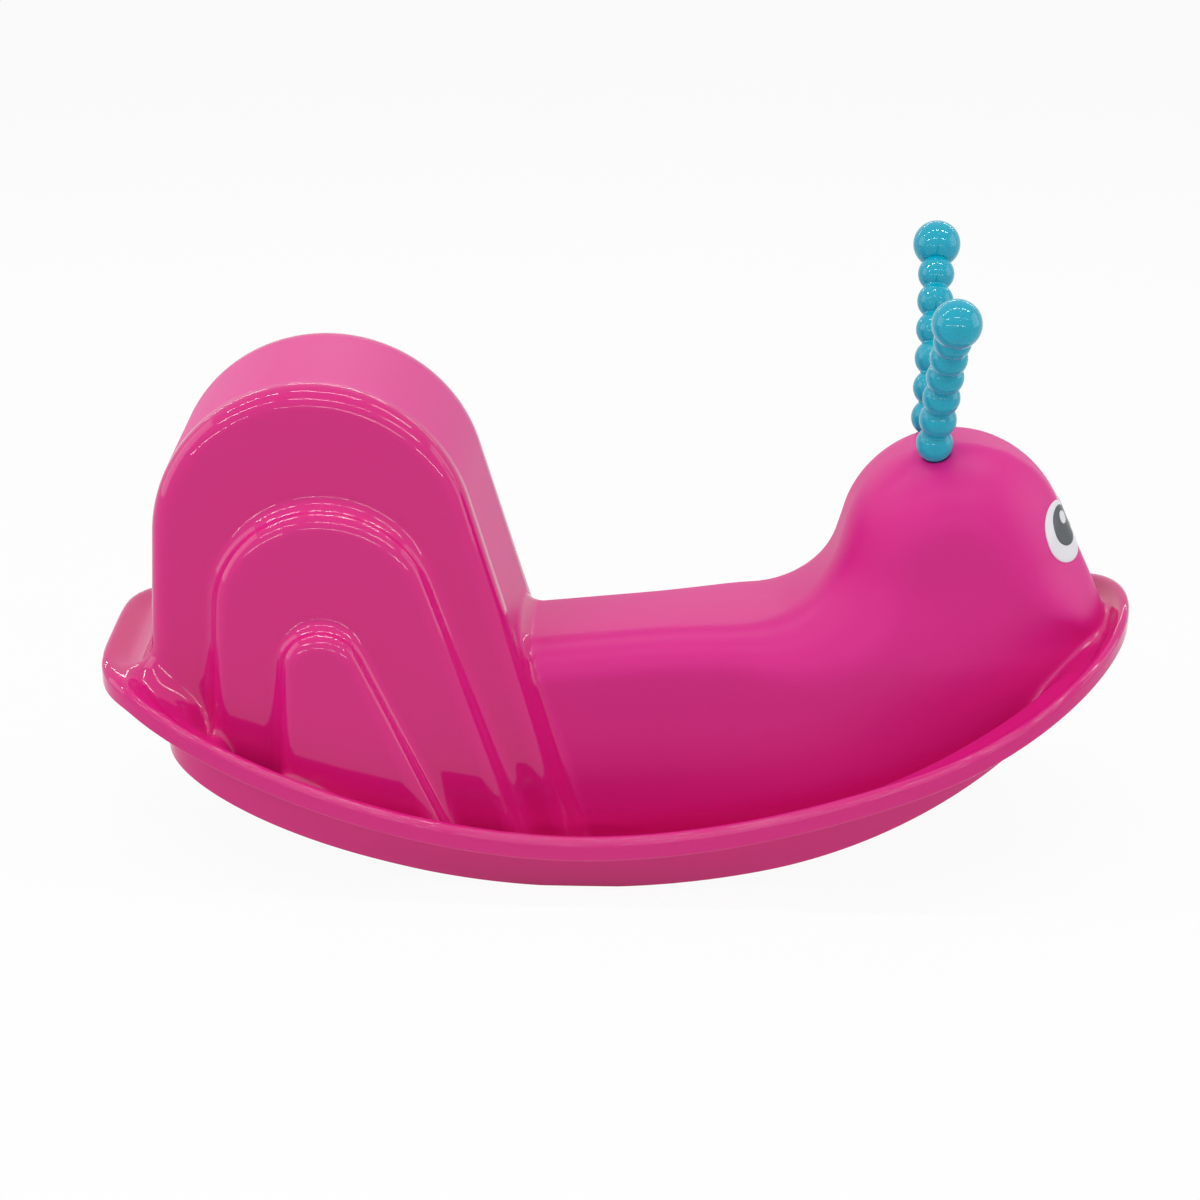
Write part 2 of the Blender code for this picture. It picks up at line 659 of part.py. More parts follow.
def make_screw(name, side, material):
    root = handle_frame(side)[4]
    seat = -stem_end_offset() - 2 * FIT_GAP - WASHER_THICKNESS
    start = handle_point(side, seat - SCREW_HEAD_HEIGHT)
    outline = [(0.0, SCREW_HEAD_RADIUS * 0.7), (SCREW_HEAD_HEIGHT * 0.5, SCREW_HEAD_RADIUS),
               (SCREW_HEAD_HEIGHT, SCREW_HEAD_RADIUS), (SCREW_HEAD_HEIGHT, SCREW_RADIUS),
               (SCREW_HEAD_HEIGHT + SCREW_LENGTH - SCREW_RADIUS, SCREW_RADIUS),
               (SCREW_HEAD_HEIGHT + SCREW_LENGTH, SCREW_RADIUS * 0.3)]
    return make_turned(name, start, root, outline, material, SCREW_SEGMENTS)


def make_boss(side):
    """Post inside the head: wide round the lowest bead's cup, narrow down to the washer."""
    root = handle_frame(side)[4]
    foot = WASHER_RADIUS + BOSS_FOOT_MARGIN
    wide = BEAD_RADIUS + CUP_CLEARANCE + BOSS_WALL
    waist = BOSS_DEPTH - wide
    outline = [(0.0, foot), (waist, foot), (waist + wide - foot, wide), (BOSS_DEPTH, wide)]
    return make_turned("boss_" + ("left" if side > 0 else "right"), handle_point(side, -BOSS_DEPTH), root,
                       outline, None, TURNED_SEGMENTS)


def make_socket(side):
    """Cup for the lowest bead and the hole for the stem."""
    root = handle_frame(side)[4]
    clear = BEAD_RADIUS + CUP_CLEARANCE
    hole = STEM_RADIUS + STEM_CLEARANCE
    outline = [(-BOSS_DEPTH - 2.0 * TOOL_MARGIN, hole)]
    first = math.acos(hole / clear)
    steps = 5
    for k in range(steps + 1):
        angle = -first + first * k / steps
        outline.append((clear * math.sin(angle), clear * math.cos(angle)))
    outline.append((BEAD_RADIUS, clear))
    lowest = outline[0][0]
    shifted = [(along - lowest, radius) for along, radius in outline]
    return make_turned("socket_" + ("left" if side > 0 else "right"), handle_point(side, lowest), root,
                       shifted, None, TURNED_SEGMENTS)


# Eyes

def head_surface(x, z):
    """Half-width of the head at a point of its side view."""
    path = crest_path()
    nose_x = path[-1][0]
    crest = path[-1][1]
    for a, b in zip(path, path[1:]):
        if a[0] <= x <= b[0]:
            crest = a[1] + (b[1] - a[1]) * (x - a[0]) / (b[0] - a[0])
    section = ridge_section(x, crest, nose_x, 0.0, 0.05)
    half = [(y, height) for _, y, height in section[:len(section) // 2 + 1]]
    for (y0, z0), (y1, z1) in zip(half[2:], half[3:]):
        if z0 <= z <= z1 and z1 > z0:
            return y0 + (y1 - y0) * (z - z0) / (z1 - z0)
    return -1.0


def press_on_head(point, normal):
    """Slide a point along the normal until it meets the head."""
    low, high = -0.03, 0.03
    for _ in range(26):
        middle = (low + high) / 2
        spot = point + normal * middle
        if head_surface(spot.x, spot.z) >= abs(spot.y):
            low = middle
        else:
            high = middle
    return low


def face_frame():
    """Middle of the left eye, and its outward, forward and upward directions."""
    flat = math.cos(EYE_TILT)
    normal = Vector((math.cos(EYE_BEARING) * flat, math.sin(EYE_BEARING) * flat, math.sin(EYE_TILT)))
    rise = (Vector((0.0, 0.0, 1.0)) - normal * normal.z).normalized()
    ahead = normal.cross(rise).normalized()
    forward = HEAD_RADIUS_X - EYE_BEHIND_HEAD_FRONT
    centre = Vector((HEAD_X + forward, EYE_SIDEWAYS, HEAD_CENTRE_Z + EYE_ABOVE_HEAD_CENTRE))
    return centre, normal, ahead, rise


def make_face_disc(name, side, radius, forward, up, lift, thickness, material):
    centre, normal, ahead, rise = face_frame()
    centre = centre + ahead * forward + rise * up
    flat = [centre]
    for row in range(1, DISC_ROWS + 1):
        for k in range(DISC_SEGMENTS):
            angle = 2 * math.pi * k / DISC_SEGMENTS
            flat.append(centre + (ahead * math.cos(angle) + rise * math.sin(angle)) * radius * row / DISC_ROWS)
    heights = [press_on_head(point, normal) for point in flat]
    inner = [point + normal * (height + lift) for point, height in zip(flat, heights)]
    outer = [point + normal * thickness for point in inner]
    total = len(flat)
    faces = []
    for layer in (0, total):
        for k in range(DISC_SEGMENTS):
            j = (k + 1) % DISC_SEGMENTS
            faces.append((layer, layer + 1 + k, layer + 1 + j))
            for row in range(DISC_ROWS - 1):
                near = layer + 1 + row * DISC_SEGMENTS
                far = near + DISC_SEGMENTS
                faces.append((near + k, far + k, far + j, near + j))
    edge = total - DISC_SEGMENTS
    for k in range(DISC_SEGMENTS):
        j = (k + 1) % DISC_SEGMENTS
        faces.append((edge + k, edge + j, total + edge + j, total + edge + k))
    vertices = [Vector((p.x, p.y * side, p.z)) for p in inner + outer]
    return make_object(name, vertices, faces, material)


def build_body(material):
    body = make_tray(material)
    ridge = make_ridge("ridge", 0.0)
    add_boolean(ridge, "UNION", make_shell("shell", 0.0))
    add_boolean(ridge, "INTERSECT", [make_tray_inside()])
    add_boolean(body, "UNION", [ridge])
    hollow = make_ridge("core_ridge", WALL)
    add_boolean(hollow, "UNION", make_shell("core", WALL))
    add_boolean(hollow, "INTERSECT", [make_core_limit()])
    bosses = [make_boss(side) for side in (-1, 1)]
    add_boolean(hollow, "DIFFERENCE", bosses)
    add_boolean(body, "DIFFERENCE", [hollow, make_rocker_trim()] + [make_socket(side) for side in (-1, 1)])
    return body


def build_handles(handle_material, steel, washer_material):
    for side, label in ((-1, "right"), (1, "left")):
        make_stalk_half("handle_" + label + "_front_half", side, 1.0, handle_material)
        make_stalk_half("handle_" + label + "_rear_half", side, -1.0, handle_material)
        make_washer("handle_" + label + "_washer", side, washer_material)
        make_screw("handle_" + label + "_screw", side, steel)


def build_eyes(white, dark):
    for side, label in ((-1, "right"), (1, "left")):
        lift = EYE_GAP
        make_face_disc("eye_" + label, side, EYE_RADIUS, 0.0, 0.0, lift, EYE_THICKNESS, white)
        lift = lift + EYE_THICKNESS + FIT_GAP
        make_face_disc("pupil_" + label, side, PUPIL_RADIUS, PUPIL_FORWARD, PUPIL_UP, lift, PUPIL_THICKNESS, dark)
        lift = lift + PUPIL_THICKNESS + FIT_GAP
        make_face_disc("glint_" + label, side, GLINT_RADIUS, GLINT_FORWARD, GLINT_UP, lift, PUPIL_THICKNESS, white)


clear_scene()
pink = make_material("pink_polypropylene", (0.52, 0.02, 0.16), 0.3)
teal = make_material("teal_polypropylene", (0.01, 0.36, 0.50), 0.25)
white_vinyl = make_material("white_vinyl", (0.72, 0.72, 0.75), 0.35)
dark_vinyl = make_material("dark_grey_vinyl", (0.06, 0.065, 0.08), 0.35)
zinc_steel = make_material("zinc_plated_steel", (0.6, 0.6, 0.62), 0.35, 1.0)
build_body(pink)
build_handles(teal, zinc_steel, zinc_steel)
build_eyes(white_vinyl, dark_vinyl)
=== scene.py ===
import math
import bpy
import numpy as np
from mathutils import Matrix, Vector


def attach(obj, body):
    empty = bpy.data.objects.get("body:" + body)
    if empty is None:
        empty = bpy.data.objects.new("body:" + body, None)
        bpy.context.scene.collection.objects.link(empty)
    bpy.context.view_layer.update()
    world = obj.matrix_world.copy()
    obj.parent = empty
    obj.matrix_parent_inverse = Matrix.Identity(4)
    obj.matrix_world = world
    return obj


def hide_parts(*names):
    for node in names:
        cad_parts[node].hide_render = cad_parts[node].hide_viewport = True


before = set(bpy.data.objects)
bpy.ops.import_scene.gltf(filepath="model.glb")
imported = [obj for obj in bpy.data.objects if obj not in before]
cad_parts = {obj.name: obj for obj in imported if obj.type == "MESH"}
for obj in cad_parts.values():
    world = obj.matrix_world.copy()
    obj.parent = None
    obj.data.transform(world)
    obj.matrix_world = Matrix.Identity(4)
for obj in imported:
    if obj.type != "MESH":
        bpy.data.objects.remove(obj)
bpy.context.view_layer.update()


# Colours are written as sRGB hex and turned to linear here

def colour(code):
    parts = [int(code[i:i + 2], 16) / 255 for i in (1, 3, 5)]
    linear = [c / 12.92 if c <= 0.04045 else ((c + 0.055) / 1.055) ** 2.4 for c in parts]
    return (*linear, 1.0)


def addNode(tree, kind, links=None, **settings):
    # one node: settings that are not its own properties are input values, links name (node, output) pairs
    node = tree.nodes.new(kind)
    for name, value in settings.items():
        if hasattr(node, name):
            setattr(node, name, value)
        else:
            node.inputs[name.replace("_", " ")].default_value = value
    for name, source in (links or {}).items():
        socket = node.inputs[name]
        tree.links.new(source[0].outputs[source[1]], socket)
    return node


# Camera: a 92 mm lens from 2.9 m, 22.5 degrees above the horizon, almost square to the side

view = {
    "distance": 2.93, "turn": 1.8, "height": 22.5, "lookAtX": -0.0156, "lookAtZ": 0.2255,
    "lens": 92.13, "sensor": 36,
}


def makeCamera():
    turn = math.radians(view["turn"])
    height = math.radians(view["height"])
    away = Vector((math.sin(turn) * math.cos(height), -math.cos(turn) * math.cos(height), math.sin(height)))
    camera = bpy.data.objects.new("studioCamera", bpy.data.cameras.new("studioCamera"))
    camera.location = Vector((view["lookAtX"], 0, view["lookAtZ"])) + away * view["distance"]
    camera.rotation_euler = away.to_track_quat("Z", "Y").to_euler()
    camera.data.lens = view["lens"]
    camera.data.sensor_width = view["sensor"]
    bpy.context.collection.objects.link(camera)
    bpy.context.scene.camera = camera


makeCamera()
print("camera placed")


# Body: one moulded sheet, each side of it a smooth distance that is skinned with a net of small quads

tray = {
    "wall": 0.0035, "length": 0.970, "width": 0.385, "widestFromFront": 0.203,
    "rearPower": 4.45, "frontPower": 2.02,
    "lipLow": 0.0442, "lipLowX": -0.033, "rearRise": 0.138, "frontRise": 0.176, "lipPower": 1.88,
    "rearDroop": 0.008, "droopX": -0.445, "droopLength": 0.04,
    "lipHeight": 0.0215, "crownRadius": 0.0085, "crownDrop": 0.0115, "crownSlope": 0.014,
    "rearDrop": 0.004, "rearSlope": 0.020, "rearX": -0.385, "rearLength": 0.055,
    "shelfAtRear": 0.0620, "shelfAtSide": 0.0295, "shelfAtFront": 0.033, "shelfEdge": 0.010,
    "troughReach": 0.312, "troughRearPower": 4.6, "troughFrontPower": 2.0,
    "sideDraft": 0.010, "frontDraft": 0.022, "floorFillet": 0.018,
    "rockerRadius": 0.760, "rockerLowX": -0.030, "standingFlat": 0.00085, "cornerRadius": 0.0015,
    "keelDroop": 0.0075, "keelDroopX": -0.20, "keelDroopLength": 0.20, "keelDroopPower": 1.5,
    "bodyInset": 0.012, "bodyFillet": 0.015, "saddleFillet": 0.016,
    "rearFillet": 0.044, "rearFilletX": -0.345, "rearFilletLength": 0.05,
}
shell = {  # each arch: centre x, centre z, radius and the lean of its front leg in degrees
    "outer": (-0.2772, 0.3155, 0.1495, 16.5),
    "middle": (-0.267, 0.254, 0.116, 19.0),
    "inner": (-0.268, 0.208, 0.052, 25.0),
    "halfWidth": 0.094, "draft": 1.5, "edge": 0.020, "rearLean": 3.0,
    "step": 0.021, "bandTop": 0.0365, "bandSide": 0.0310,
}
ridge = {  # seat and head; the head is an arch like those of the shell
    "head": (0.3165, 0.2905, 0.1055, 25.3), "headEdge": 0.076, "neck": 0.080,
    "seatHeight": 0.2147, "seatSlope": 0.103, "seatCrown": 0.95, "seatHalfWidth": 0.075,
    "seatRearX": -0.30, "seatFrontX": 0.345, "seatEdge": 0.034, "seatEdgeX": 0.10, "seatEdgeLength": 0.15,
    "swell": 0.023, "swellFrom": 0.020, "swellLength": 0.230,
    "flare": 0.008, "flareBelow": 0.16, "flareHeight": 0.12,
    "headTaper": 0.012, "taperAbove": 0.19, "taperHeight": 0.10, "taperX": 0.12, "taperLength": 0.12,
    "noseReach": 0.082, "noseEdge": 0.020, "noseX": 0.34, "noseLength": 0.09,
    "chinInset": 0.076, "chinAbove": 0.205, "chinHeight": 0.085,
    "closeFrom": 0.250, "closePower": 1.9,
}
hollow = {  # the underside's own edges, and the low border of the room under the body
    "crownShare": 0.45, "tubEdge": 0.002, "shelfEdge": 0.006, "saddleFillet": 0.006, "wallFillet": 0.004,
    "borderRise": 0.012, "frontRise": 0.025, "frontX": 0.30, "frontLength": 0.08,
    "borderInset": 0.013, "borderEdge": 0.005, "bossEdge": 0.008,
    "cornerRows": (0.0055, 0.003), "cornerInset": 0.0035,
}


def soft(share):
    share = np.clip(share, 0, 1)
    return share * share * (3 - 2 * share)


def meet(a, b, radius):  # the common part of two bodies, its edge rounded outwards
    beyond = np.hypot(np.maximum(radius + a, 0), np.maximum(radius + b, 0))
    return np.minimum(-radius, np.maximum(a, b)) + beyond


def join(a, b, radius):  # the sum of two bodies, the corner between them filled with a fillet
    within = np.hypot(np.maximum(radius - a, 0), np.maximum(radius - b, 0))
    return np.maximum(radius, np.minimum(a, b)) - within


def lipZ(x):
    ahead = x > tray["lipLowX"]
    half = tray["length"] / 2
    reach = np.where(ahead, half - tray["lipLowX"], half + tray["lipLowX"])
    rise = np.where(ahead, tray["frontRise"], tray["rearRise"])
    droop = tray["rearDroop"] * soft((tray["droopX"] - x) / tray["droopLength"])
    return tray["lipLow"] + rise * (np.abs(x - tray["lipLowX"]) / reach) ** tray["lipPower"] - droop


def rockerZ(x, raised):
    # an arc that droops a little further towards the rear end; beyond its circle it stays finite
    reach = (tray["rockerRadius"] - raised) ** 2 - (x - tray["rockerLowX"]) ** 2
    behind = np.clip((tray["keelDroopX"] - x) / tray["keelDroopLength"], 0, 1.2)
    droop = tray["keelDroop"] * behind ** tray["keelDroopPower"]
    return tray["rockerRadius"] - np.sqrt(np.maximum(reach, 0.01)) - droop


def underZ(x):  # the underside stands on a short flat
    return np.maximum(rockerZ(x, 0) - tray["standingFlat"], 0)


def ovalDistance(x, y, rear, front, widest, half, rearPower, frontPower):
    # distance to an oval whose two halves, behind and ahead of its widest place, have their own power
    ahead = x > widest
    reach = np.where(ahead, front - widest, widest - rear)
    power = np.where(ahead, frontPower, rearPower)
    u = np.abs(x - widest) / reach
    v = np.abs(y) / half
    total = u ** power + v ** power + 1e-9
    slope = total ** (1 / power - 1)
    steepness = np.hypot(u ** (power - 1) * slope / reach, v ** (power - 1) * slope / half)
    return (total ** (1 / power) - 1) / steepness


def rimDistance(x, y):
    half = tray["length"] / 2
    return ovalDistance(x, y, -half, half, half - tray["widestFromFront"], tray["width"] / 2,
                        tray["rearPower"], tray["frontPower"])


def crownShape(x):
    # how far the rim's crown falls to the shelf inside it, and over what width: softer at the rear end
    rear = soft((tray["rearX"] - x) / tray["rearLength"])
    drop = tray["crownDrop"] + (tray["rearDrop"] - tray["crownDrop"]) * rear
    return drop, tray["crownSlope"] + (tray["rearSlope"] - tray["crownSlope"]) * rear


def troughDistance(x, y, z, grown):
    # the trough's wall: depth runs from 0 at the shelf to 1 at the floor, and the draft goes with it
    shelf = lipZ(x) + tray["lipHeight"] - tray["crownDrop"]
    depth = np.clip((shelf - z) / (shelf - rockerZ(x, 0)), -0.5, 1.1)
    rear = tray["shelfAtRear"] - tray["length"] / 2
    front = tray["length"] / 2 - tray["shelfAtFront"]
    half = tray["width"] / 2 - tray["shelfAtSide"]
    return ovalDistance(x, y, rear - grown, front + grown - tray["frontDraft"] * depth,
                        front - tray["troughReach"], half + grown - tray["sideDraft"] * depth,
                        tray["troughRearPower"], tray["troughFrontPower"])


def archDistance(x, z, arch, rearLean):
    # from the side: a half round with two legs that lean outwards
    centreX, centreZ, radius, frontLean = arch
    u = x - centreX
    v = z - centreZ
    front = math.radians(frontLean)
    rear = math.radians(rearLean)
    over = (v * math.cos(front) > u * math.sin(front)) & (v * math.cos(rear) > -u * math.sin(rear))
    legs = np.maximum(u * math.cos(front) + v * math.sin(front), v * math.sin(rear) - u * math.cos(rear))
    return np.where(over, np.hypot(u, v), legs) - radius


def roundStep(into, width, height):
    # a step made of two equal arcs: hollow at its foot, rounded at its top
    radius = (width * width + height * height) / (4 * height)
    into = np.clip(into, 0, width)
    near = np.minimum(into, width - into)
    rise = radius - np.sqrt(np.maximum(radius * radius - near * near, 0))
    return np.where(into < width / 2, rise, height - rise)


def shellDistance(x, y, z, wall):
    outer = archDistance(x, z, shell["outer"], shell["rearLean"])
    top = shell["outer"][1] + shell["outer"][2]
    half = shell["halfWidth"] + math.tan(math.radians(shell["draft"])) * (top - z)
    for name in ("middle", "inner"):
        arch = shell[name]
        up = np.clip((z - arch[1]) / arch[2], 0, 1)
        band = shell["bandSide"] + (shell["bandTop"] - shell["bandSide"]) * up * up
        half = half + roundStep(-archDistance(x, z, arch, shell["rearLean"]), band, shell["step"])
    return meet(outer + wall, np.abs(y) - half + wall, shell["edge"] - wall)


def ridgeHalf(x, z):
    # half the ridge's width: it swells towards the head, flares at its foot and is narrower up there
    half = ridge["seatHalfWidth"] + ridge["swell"] * soft((x - ridge["swellFrom"]) / ridge["swellLength"])
    half = half + ridge["flare"] * soft((ridge["flareBelow"] - z) / ridge["flareHeight"])
    high = soft((z - ridge["taperAbove"]) / ridge["taperHeight"])
    return half - ridge["headTaper"] * high * soft((x - ridge["taperX"]) / ridge["taperLength"])


def ridgeDistance(x, y, z, wall):
    headX, headZ, radius, lean = ridge["head"]
    lean = math.radians(lean)
    close = ridge["closeFrom"]
    seat = z - ridge["seatHeight"] - ridge["seatSlope"] * x + ridge["seatCrown"] * y * y
    seat = seat * math.cos(math.atan(ridge["seatSlope"]))
    seat = np.maximum(np.maximum(seat, x - ridge["seatFrontX"]), ridge["seatRearX"] - x)
    crest = join(seat, archDistance(x, z, ridge["head"], 0.0), ridge["neck"])
    chin = 1 - soft((z - ridge["chinAbove"]) / ridge["chinHeight"])
    nose = soft((x - ridge["noseX"]) / ridge["noseLength"])
    edge = ridge["headEdge"] + (ridge["noseEdge"] - ridge["headEdge"]) * nose * chin
    ahead = soft((x - ridge["seatEdgeX"]) / ridge["seatEdgeLength"])
    edge = ridge["seatEdge"] + (edge - ridge["seatEdge"]) * ahead
    faceX = headX + (radius + (headZ - z) * math.sin(lean)) / math.cos(lean)
    reach = faceX + ridge["noseReach"] - ridge["chinInset"] * chin - close
    half = ridgeHalf(x, z)
    # straight sides up to where the head starts to close, then the front half of an oval
    side = ovalDistance(np.maximum(x, close), y, -1.0, close + reach, close, half,
                        ridge["closePower"], ridge["closePower"])
    side = np.where(x > close, side, np.abs(y) - half)
    return meet(crest + wall, side + wall, edge - wall)


def topSide(x, y, z):
    rim = rimDistance(x, y)
    drop, slope = crownShape(x)
    crown = tray["lipHeight"] - drop * soft((-rim - tray["crownRadius"]) / slope)
    sheet = meet(rim, z - lipZ(x) - crown, tray["crownRadius"])
    trough = meet(troughDistance(x, y, z, 0), rockerZ(x, tray["wall"]) - z, tray["floorFillet"])
    sheet = meet(sheet, -trough, tray["shelfEdge"])
    body = join(shellDistance(x, y, z, 0), ridgeDistance(x, y, z, 0), tray["saddleFillet"])
    body = np.maximum(body, rim + tray["bodyInset"])
    rear = soft((tray["rearFilletX"] - x) / tray["rearFilletLength"])
    return join(sheet, body, tray["bodyFillet"] + (tray["rearFillet"] - tray["bodyFillet"]) * rear)


def underSide(x, y, z):
    wall = tray["wall"]
    rim = rimDistance(x, y)
    drop, slope = crownShape(x)
    under = tray["crownDrop"] * hollow["crownShare"]
    crown = tray["lipHeight"] - under - (drop - under) * soft(-rim / (tray["crownRadius"] + slope))
    room = meet(rim + wall, z - lipZ(x) - crown + wall, tray["crownRadius"])
    tub = meet(troughDistance(x, y, z, wall), underZ(x) - z, hollow["tubEdge"])
    room = meet(room, -tub, hollow["shelfEdge"])
    core = join(shellDistance(x, y, z, wall), ridgeDistance(x, y, z, wall), hollow["saddleFillet"])
    # low down the room under the body stays inside the tub
    ahead = soft((x - hollow["frontX"]) / hollow["frontLength"])
    height = z - lipZ(x) - hollow["borderRise"] - hollow["frontRise"] * ahead
    border = np.maximum(height, -hollow["borderInset"] - troughDistance(x, y, z, wall))
    core = meet(core, -border, hollow["borderEdge"])
    for side in (-1, 1):
        core = meet(core, -bossDistance(x, y, z, side), hollow["bossEdge"])
    return -join(room, core, hollow["wallFillet"])


# Handle roots: each stalk leans outwards from its cup in the head

stalk = {
    "x": 0.293, "spread": 0.0367, "z": 0.4004, "lean": 19.9, "leanPerBead": 4.9, "forward": 3.0,
    "beads": 6, "beadRadius": 0.0172, "pitch": 0.0278, "knobRadius": 0.0224, "knobPitch": 0.0320,
    "neck": 0.0112, "stemRadius": 0.0075, "stemLength": 0.0204, "seam": 0.0003, "sharpAngle": 25.0,
    "cup": 0.0178, "cupMargin": 0.0015, "cupEdge": 0.0007, "cupFoot": 0.0090, "cupCut": 0.0213,
    "cupFloor": ((0.0088, 0.0175), (0.0086, 0.0198), (0.0078, 0.0205)),  # radius and depth
    "bossX": 0.290, "bossDepth": 0.034, "bossFoot": 0.0135, "bossTop": 0.0205, "bossFloor": 0.001,
}


def stalkFrame(side):
    forward = math.radians(stalk["forward"])
    lean = math.radians(stalk["lean"])
    base = np.array((stalk["x"], side * stalk["spread"], stalk["z"]))
    up = np.array((math.sin(forward), 0, math.cos(forward)))
    return base, up * math.cos(lean) + np.array((0, side, 0)) * math.sin(lean)


def bossDistance(x, y, z, side):
    # the cone under a cup that its screw goes into
    base, root = stalkFrame(side)
    u, v, w = x - stalk["bossX"], y - base[1], z - base[2]
    along = u * root[0] + v * root[1] + w * root[2]
    out = np.sqrt(np.maximum(u * u + v * v + w * w - along * along, 0))
    share = np.clip((along + stalk["bossDepth"]) / (stalk["bossDepth"] - stalk["bossTop"]), 0, 1.2)
    radius = stalk["bossFoot"] + (stalk["bossTop"] - stalk["bossFoot"]) * share
    return meet(-along - stalk["bossDepth"], out - radius, stalk["bossFloor"])


# Skin tools

net = {
    "grid": 0.0045, "gridBelow": 0.0064, "reachX": 0.4975, "reachY": 0.2, "below": 0.056, "above": 0.40,
    "offset": 0.002, "probe": 0.0002, "push": 0.003, "leastSlope": 0.05,
    "lipCut": 0.012, "lipCutBelow": 0.008, "cornerCut": 0.009, "tubCut": 0.006,
    "rimPoints": 400, "tubPoints": 360, "cupPoints": 48, "tubStart": (0.9, 0.81), "tubPush": 0.004,
}


def slopeAt(field, points):
    step = net["probe"]
    x, y, z = points.T
    return np.stack([
        field(x + step, y, z) - field(x - step, y, z),
        field(x, y + step, z) - field(x, y - step, z),
        field(x, y, z + step) - field(x, y, z - step),
    ], 1) / (2 * step)


def pressOn(field, points, rounds=5):
    # moves points along the slope until they lie where the distance is 0
    for _ in range(rounds):
        slope = slopeAt(field, points)
        share = field(*points.T) / np.maximum((slope ** 2).sum(1), net["leastSlope"])
        points = points - slope * np.clip(share, -net["push"], net["push"])[:, None]
    return points


def netSkin(field, grid):
    # points, quads round every place where the distance changes sign, and which points lie below the
    # lip, on a grid that follows the lip
    xs = np.arange(-net["reachX"], net["reachX"], grid)
    aside = math.ceil(net["reachY"] / grid)
    ys = (np.arange(-aside, aside) + 0.5) * grid
    below = math.ceil(net["below"] / grid)
    levels = net["offset"] + np.arange(-below, math.ceil(net["above"] / grid)) * grid
    x = xs[:, None, None]
    values = field(x, ys[None, :, None], levels[None, None, :] + lipZ(x))
    inside = values < 0
    shape = tuple(n - 1 for n in inside.shape)
    total = np.zeros(shape, int)
    for i, j, k in np.ndindex(2, 2, 2):
        total += inside[i:i + shape[0], j:j + shape[1], k:k + shape[2]]
    mixed = (total > 0) & (total < 8)
    number = np.full(shape, -1)
    number[mixed] = np.arange(mixed.sum())
    cells = np.argwhere(mixed)
    places = np.zeros((len(cells), 3))
    count = np.zeros(len(cells))
    for axis in range(3):
        for corner in np.ndindex(2, 2):
            start = np.insert(np.array(corner), axis, 0)
            end = start.copy()
            end[axis] = 1
            a = values[tuple((cells + start).T)]
            b = values[tuple((cells + end).T)]
            crossed = (a < 0) != (b < 0)
            share = np.where(crossed, a / np.where(crossed, a - b, 1), 0)
            places += (start + np.outer(share, end - start)) * crossed[:, None]
            count += crossed
    places = cells + places / count[:, None]
    x = xs[0] + grid * places[:, 0]
    points = np.stack([x, ys[0] + grid * places[:, 1], levels[0] + grid * places[:, 2] + lipZ(x)], 1)
    quads = []
    for axis in range(3):
        before = [slice(None)] * 3
        after = [slice(None)] * 3
        before[axis] = slice(None, -1)
        after[axis] = slice(1, None)
        low, high = inside[tuple(before)], inside[tuple(after)]
        edges = np.argwhere(low != high)
        second, third = (axis + 1) % 3, (axis + 2) % 3
        limits = np.array(shape)
        edges = edges[(edges[:, second] > 0) & (edges[:, third] > 0)
                      & (edges[:, second] < limits[second]) & (edges[:, third] < limits[third])]
        corners = []
        for shiftB, shiftC in ((1, 1), (0, 1), (0, 0), (1, 0)):
            cell = edges.copy()
            cell[:, second] -= shiftB
            cell[:, third] -= shiftC
            corners.append(number[tuple(cell.T)])
        corners = np.stack(corners, 1)
        outwards = low[tuple(edges.T)]
        quads.append(np.where(outwards[:, None], corners, corners[:, ::-1]))
    quads = np.concatenate(quads)
    return pressOn(field, points), quads[(quads >= 0).all(1)], cells[:, 2] < below


def keepOnly(points, faces, dropped):
    # also drops any point where the open edge would touch itself
    pinched = dropped
    while pinched.any():
        faces = faces[~pinched[faces].any(1)]
        start, end = faces.ravel(), np.roll(faces, -1, 1).ravel()
        isOpen = ~np.isin(start * len(points) + end, end * len(points) + start)
        pinched = np.bincount(start[isOpen], minlength=len(points)) > 1
    used = np.unique(faces)
    place = np.full(len(points), -1)
    place[used] = np.arange(len(used))
    return points[used], place[faces]


def openLoops(faces):
    sides = set()
    for face in faces:
        for a, b in zip(face, face[1:] + face[:1]):
            sides.add((a, b))
    following = {a: b for a, b in sides if (b, a) not in sides}
    loops = []
    while following:
        start, spot = following.popitem()
        loop = [start]
        while spot != start:
            loop.append(spot)
            spot = following.pop(spot)
        loops.append(loop)
    return loops


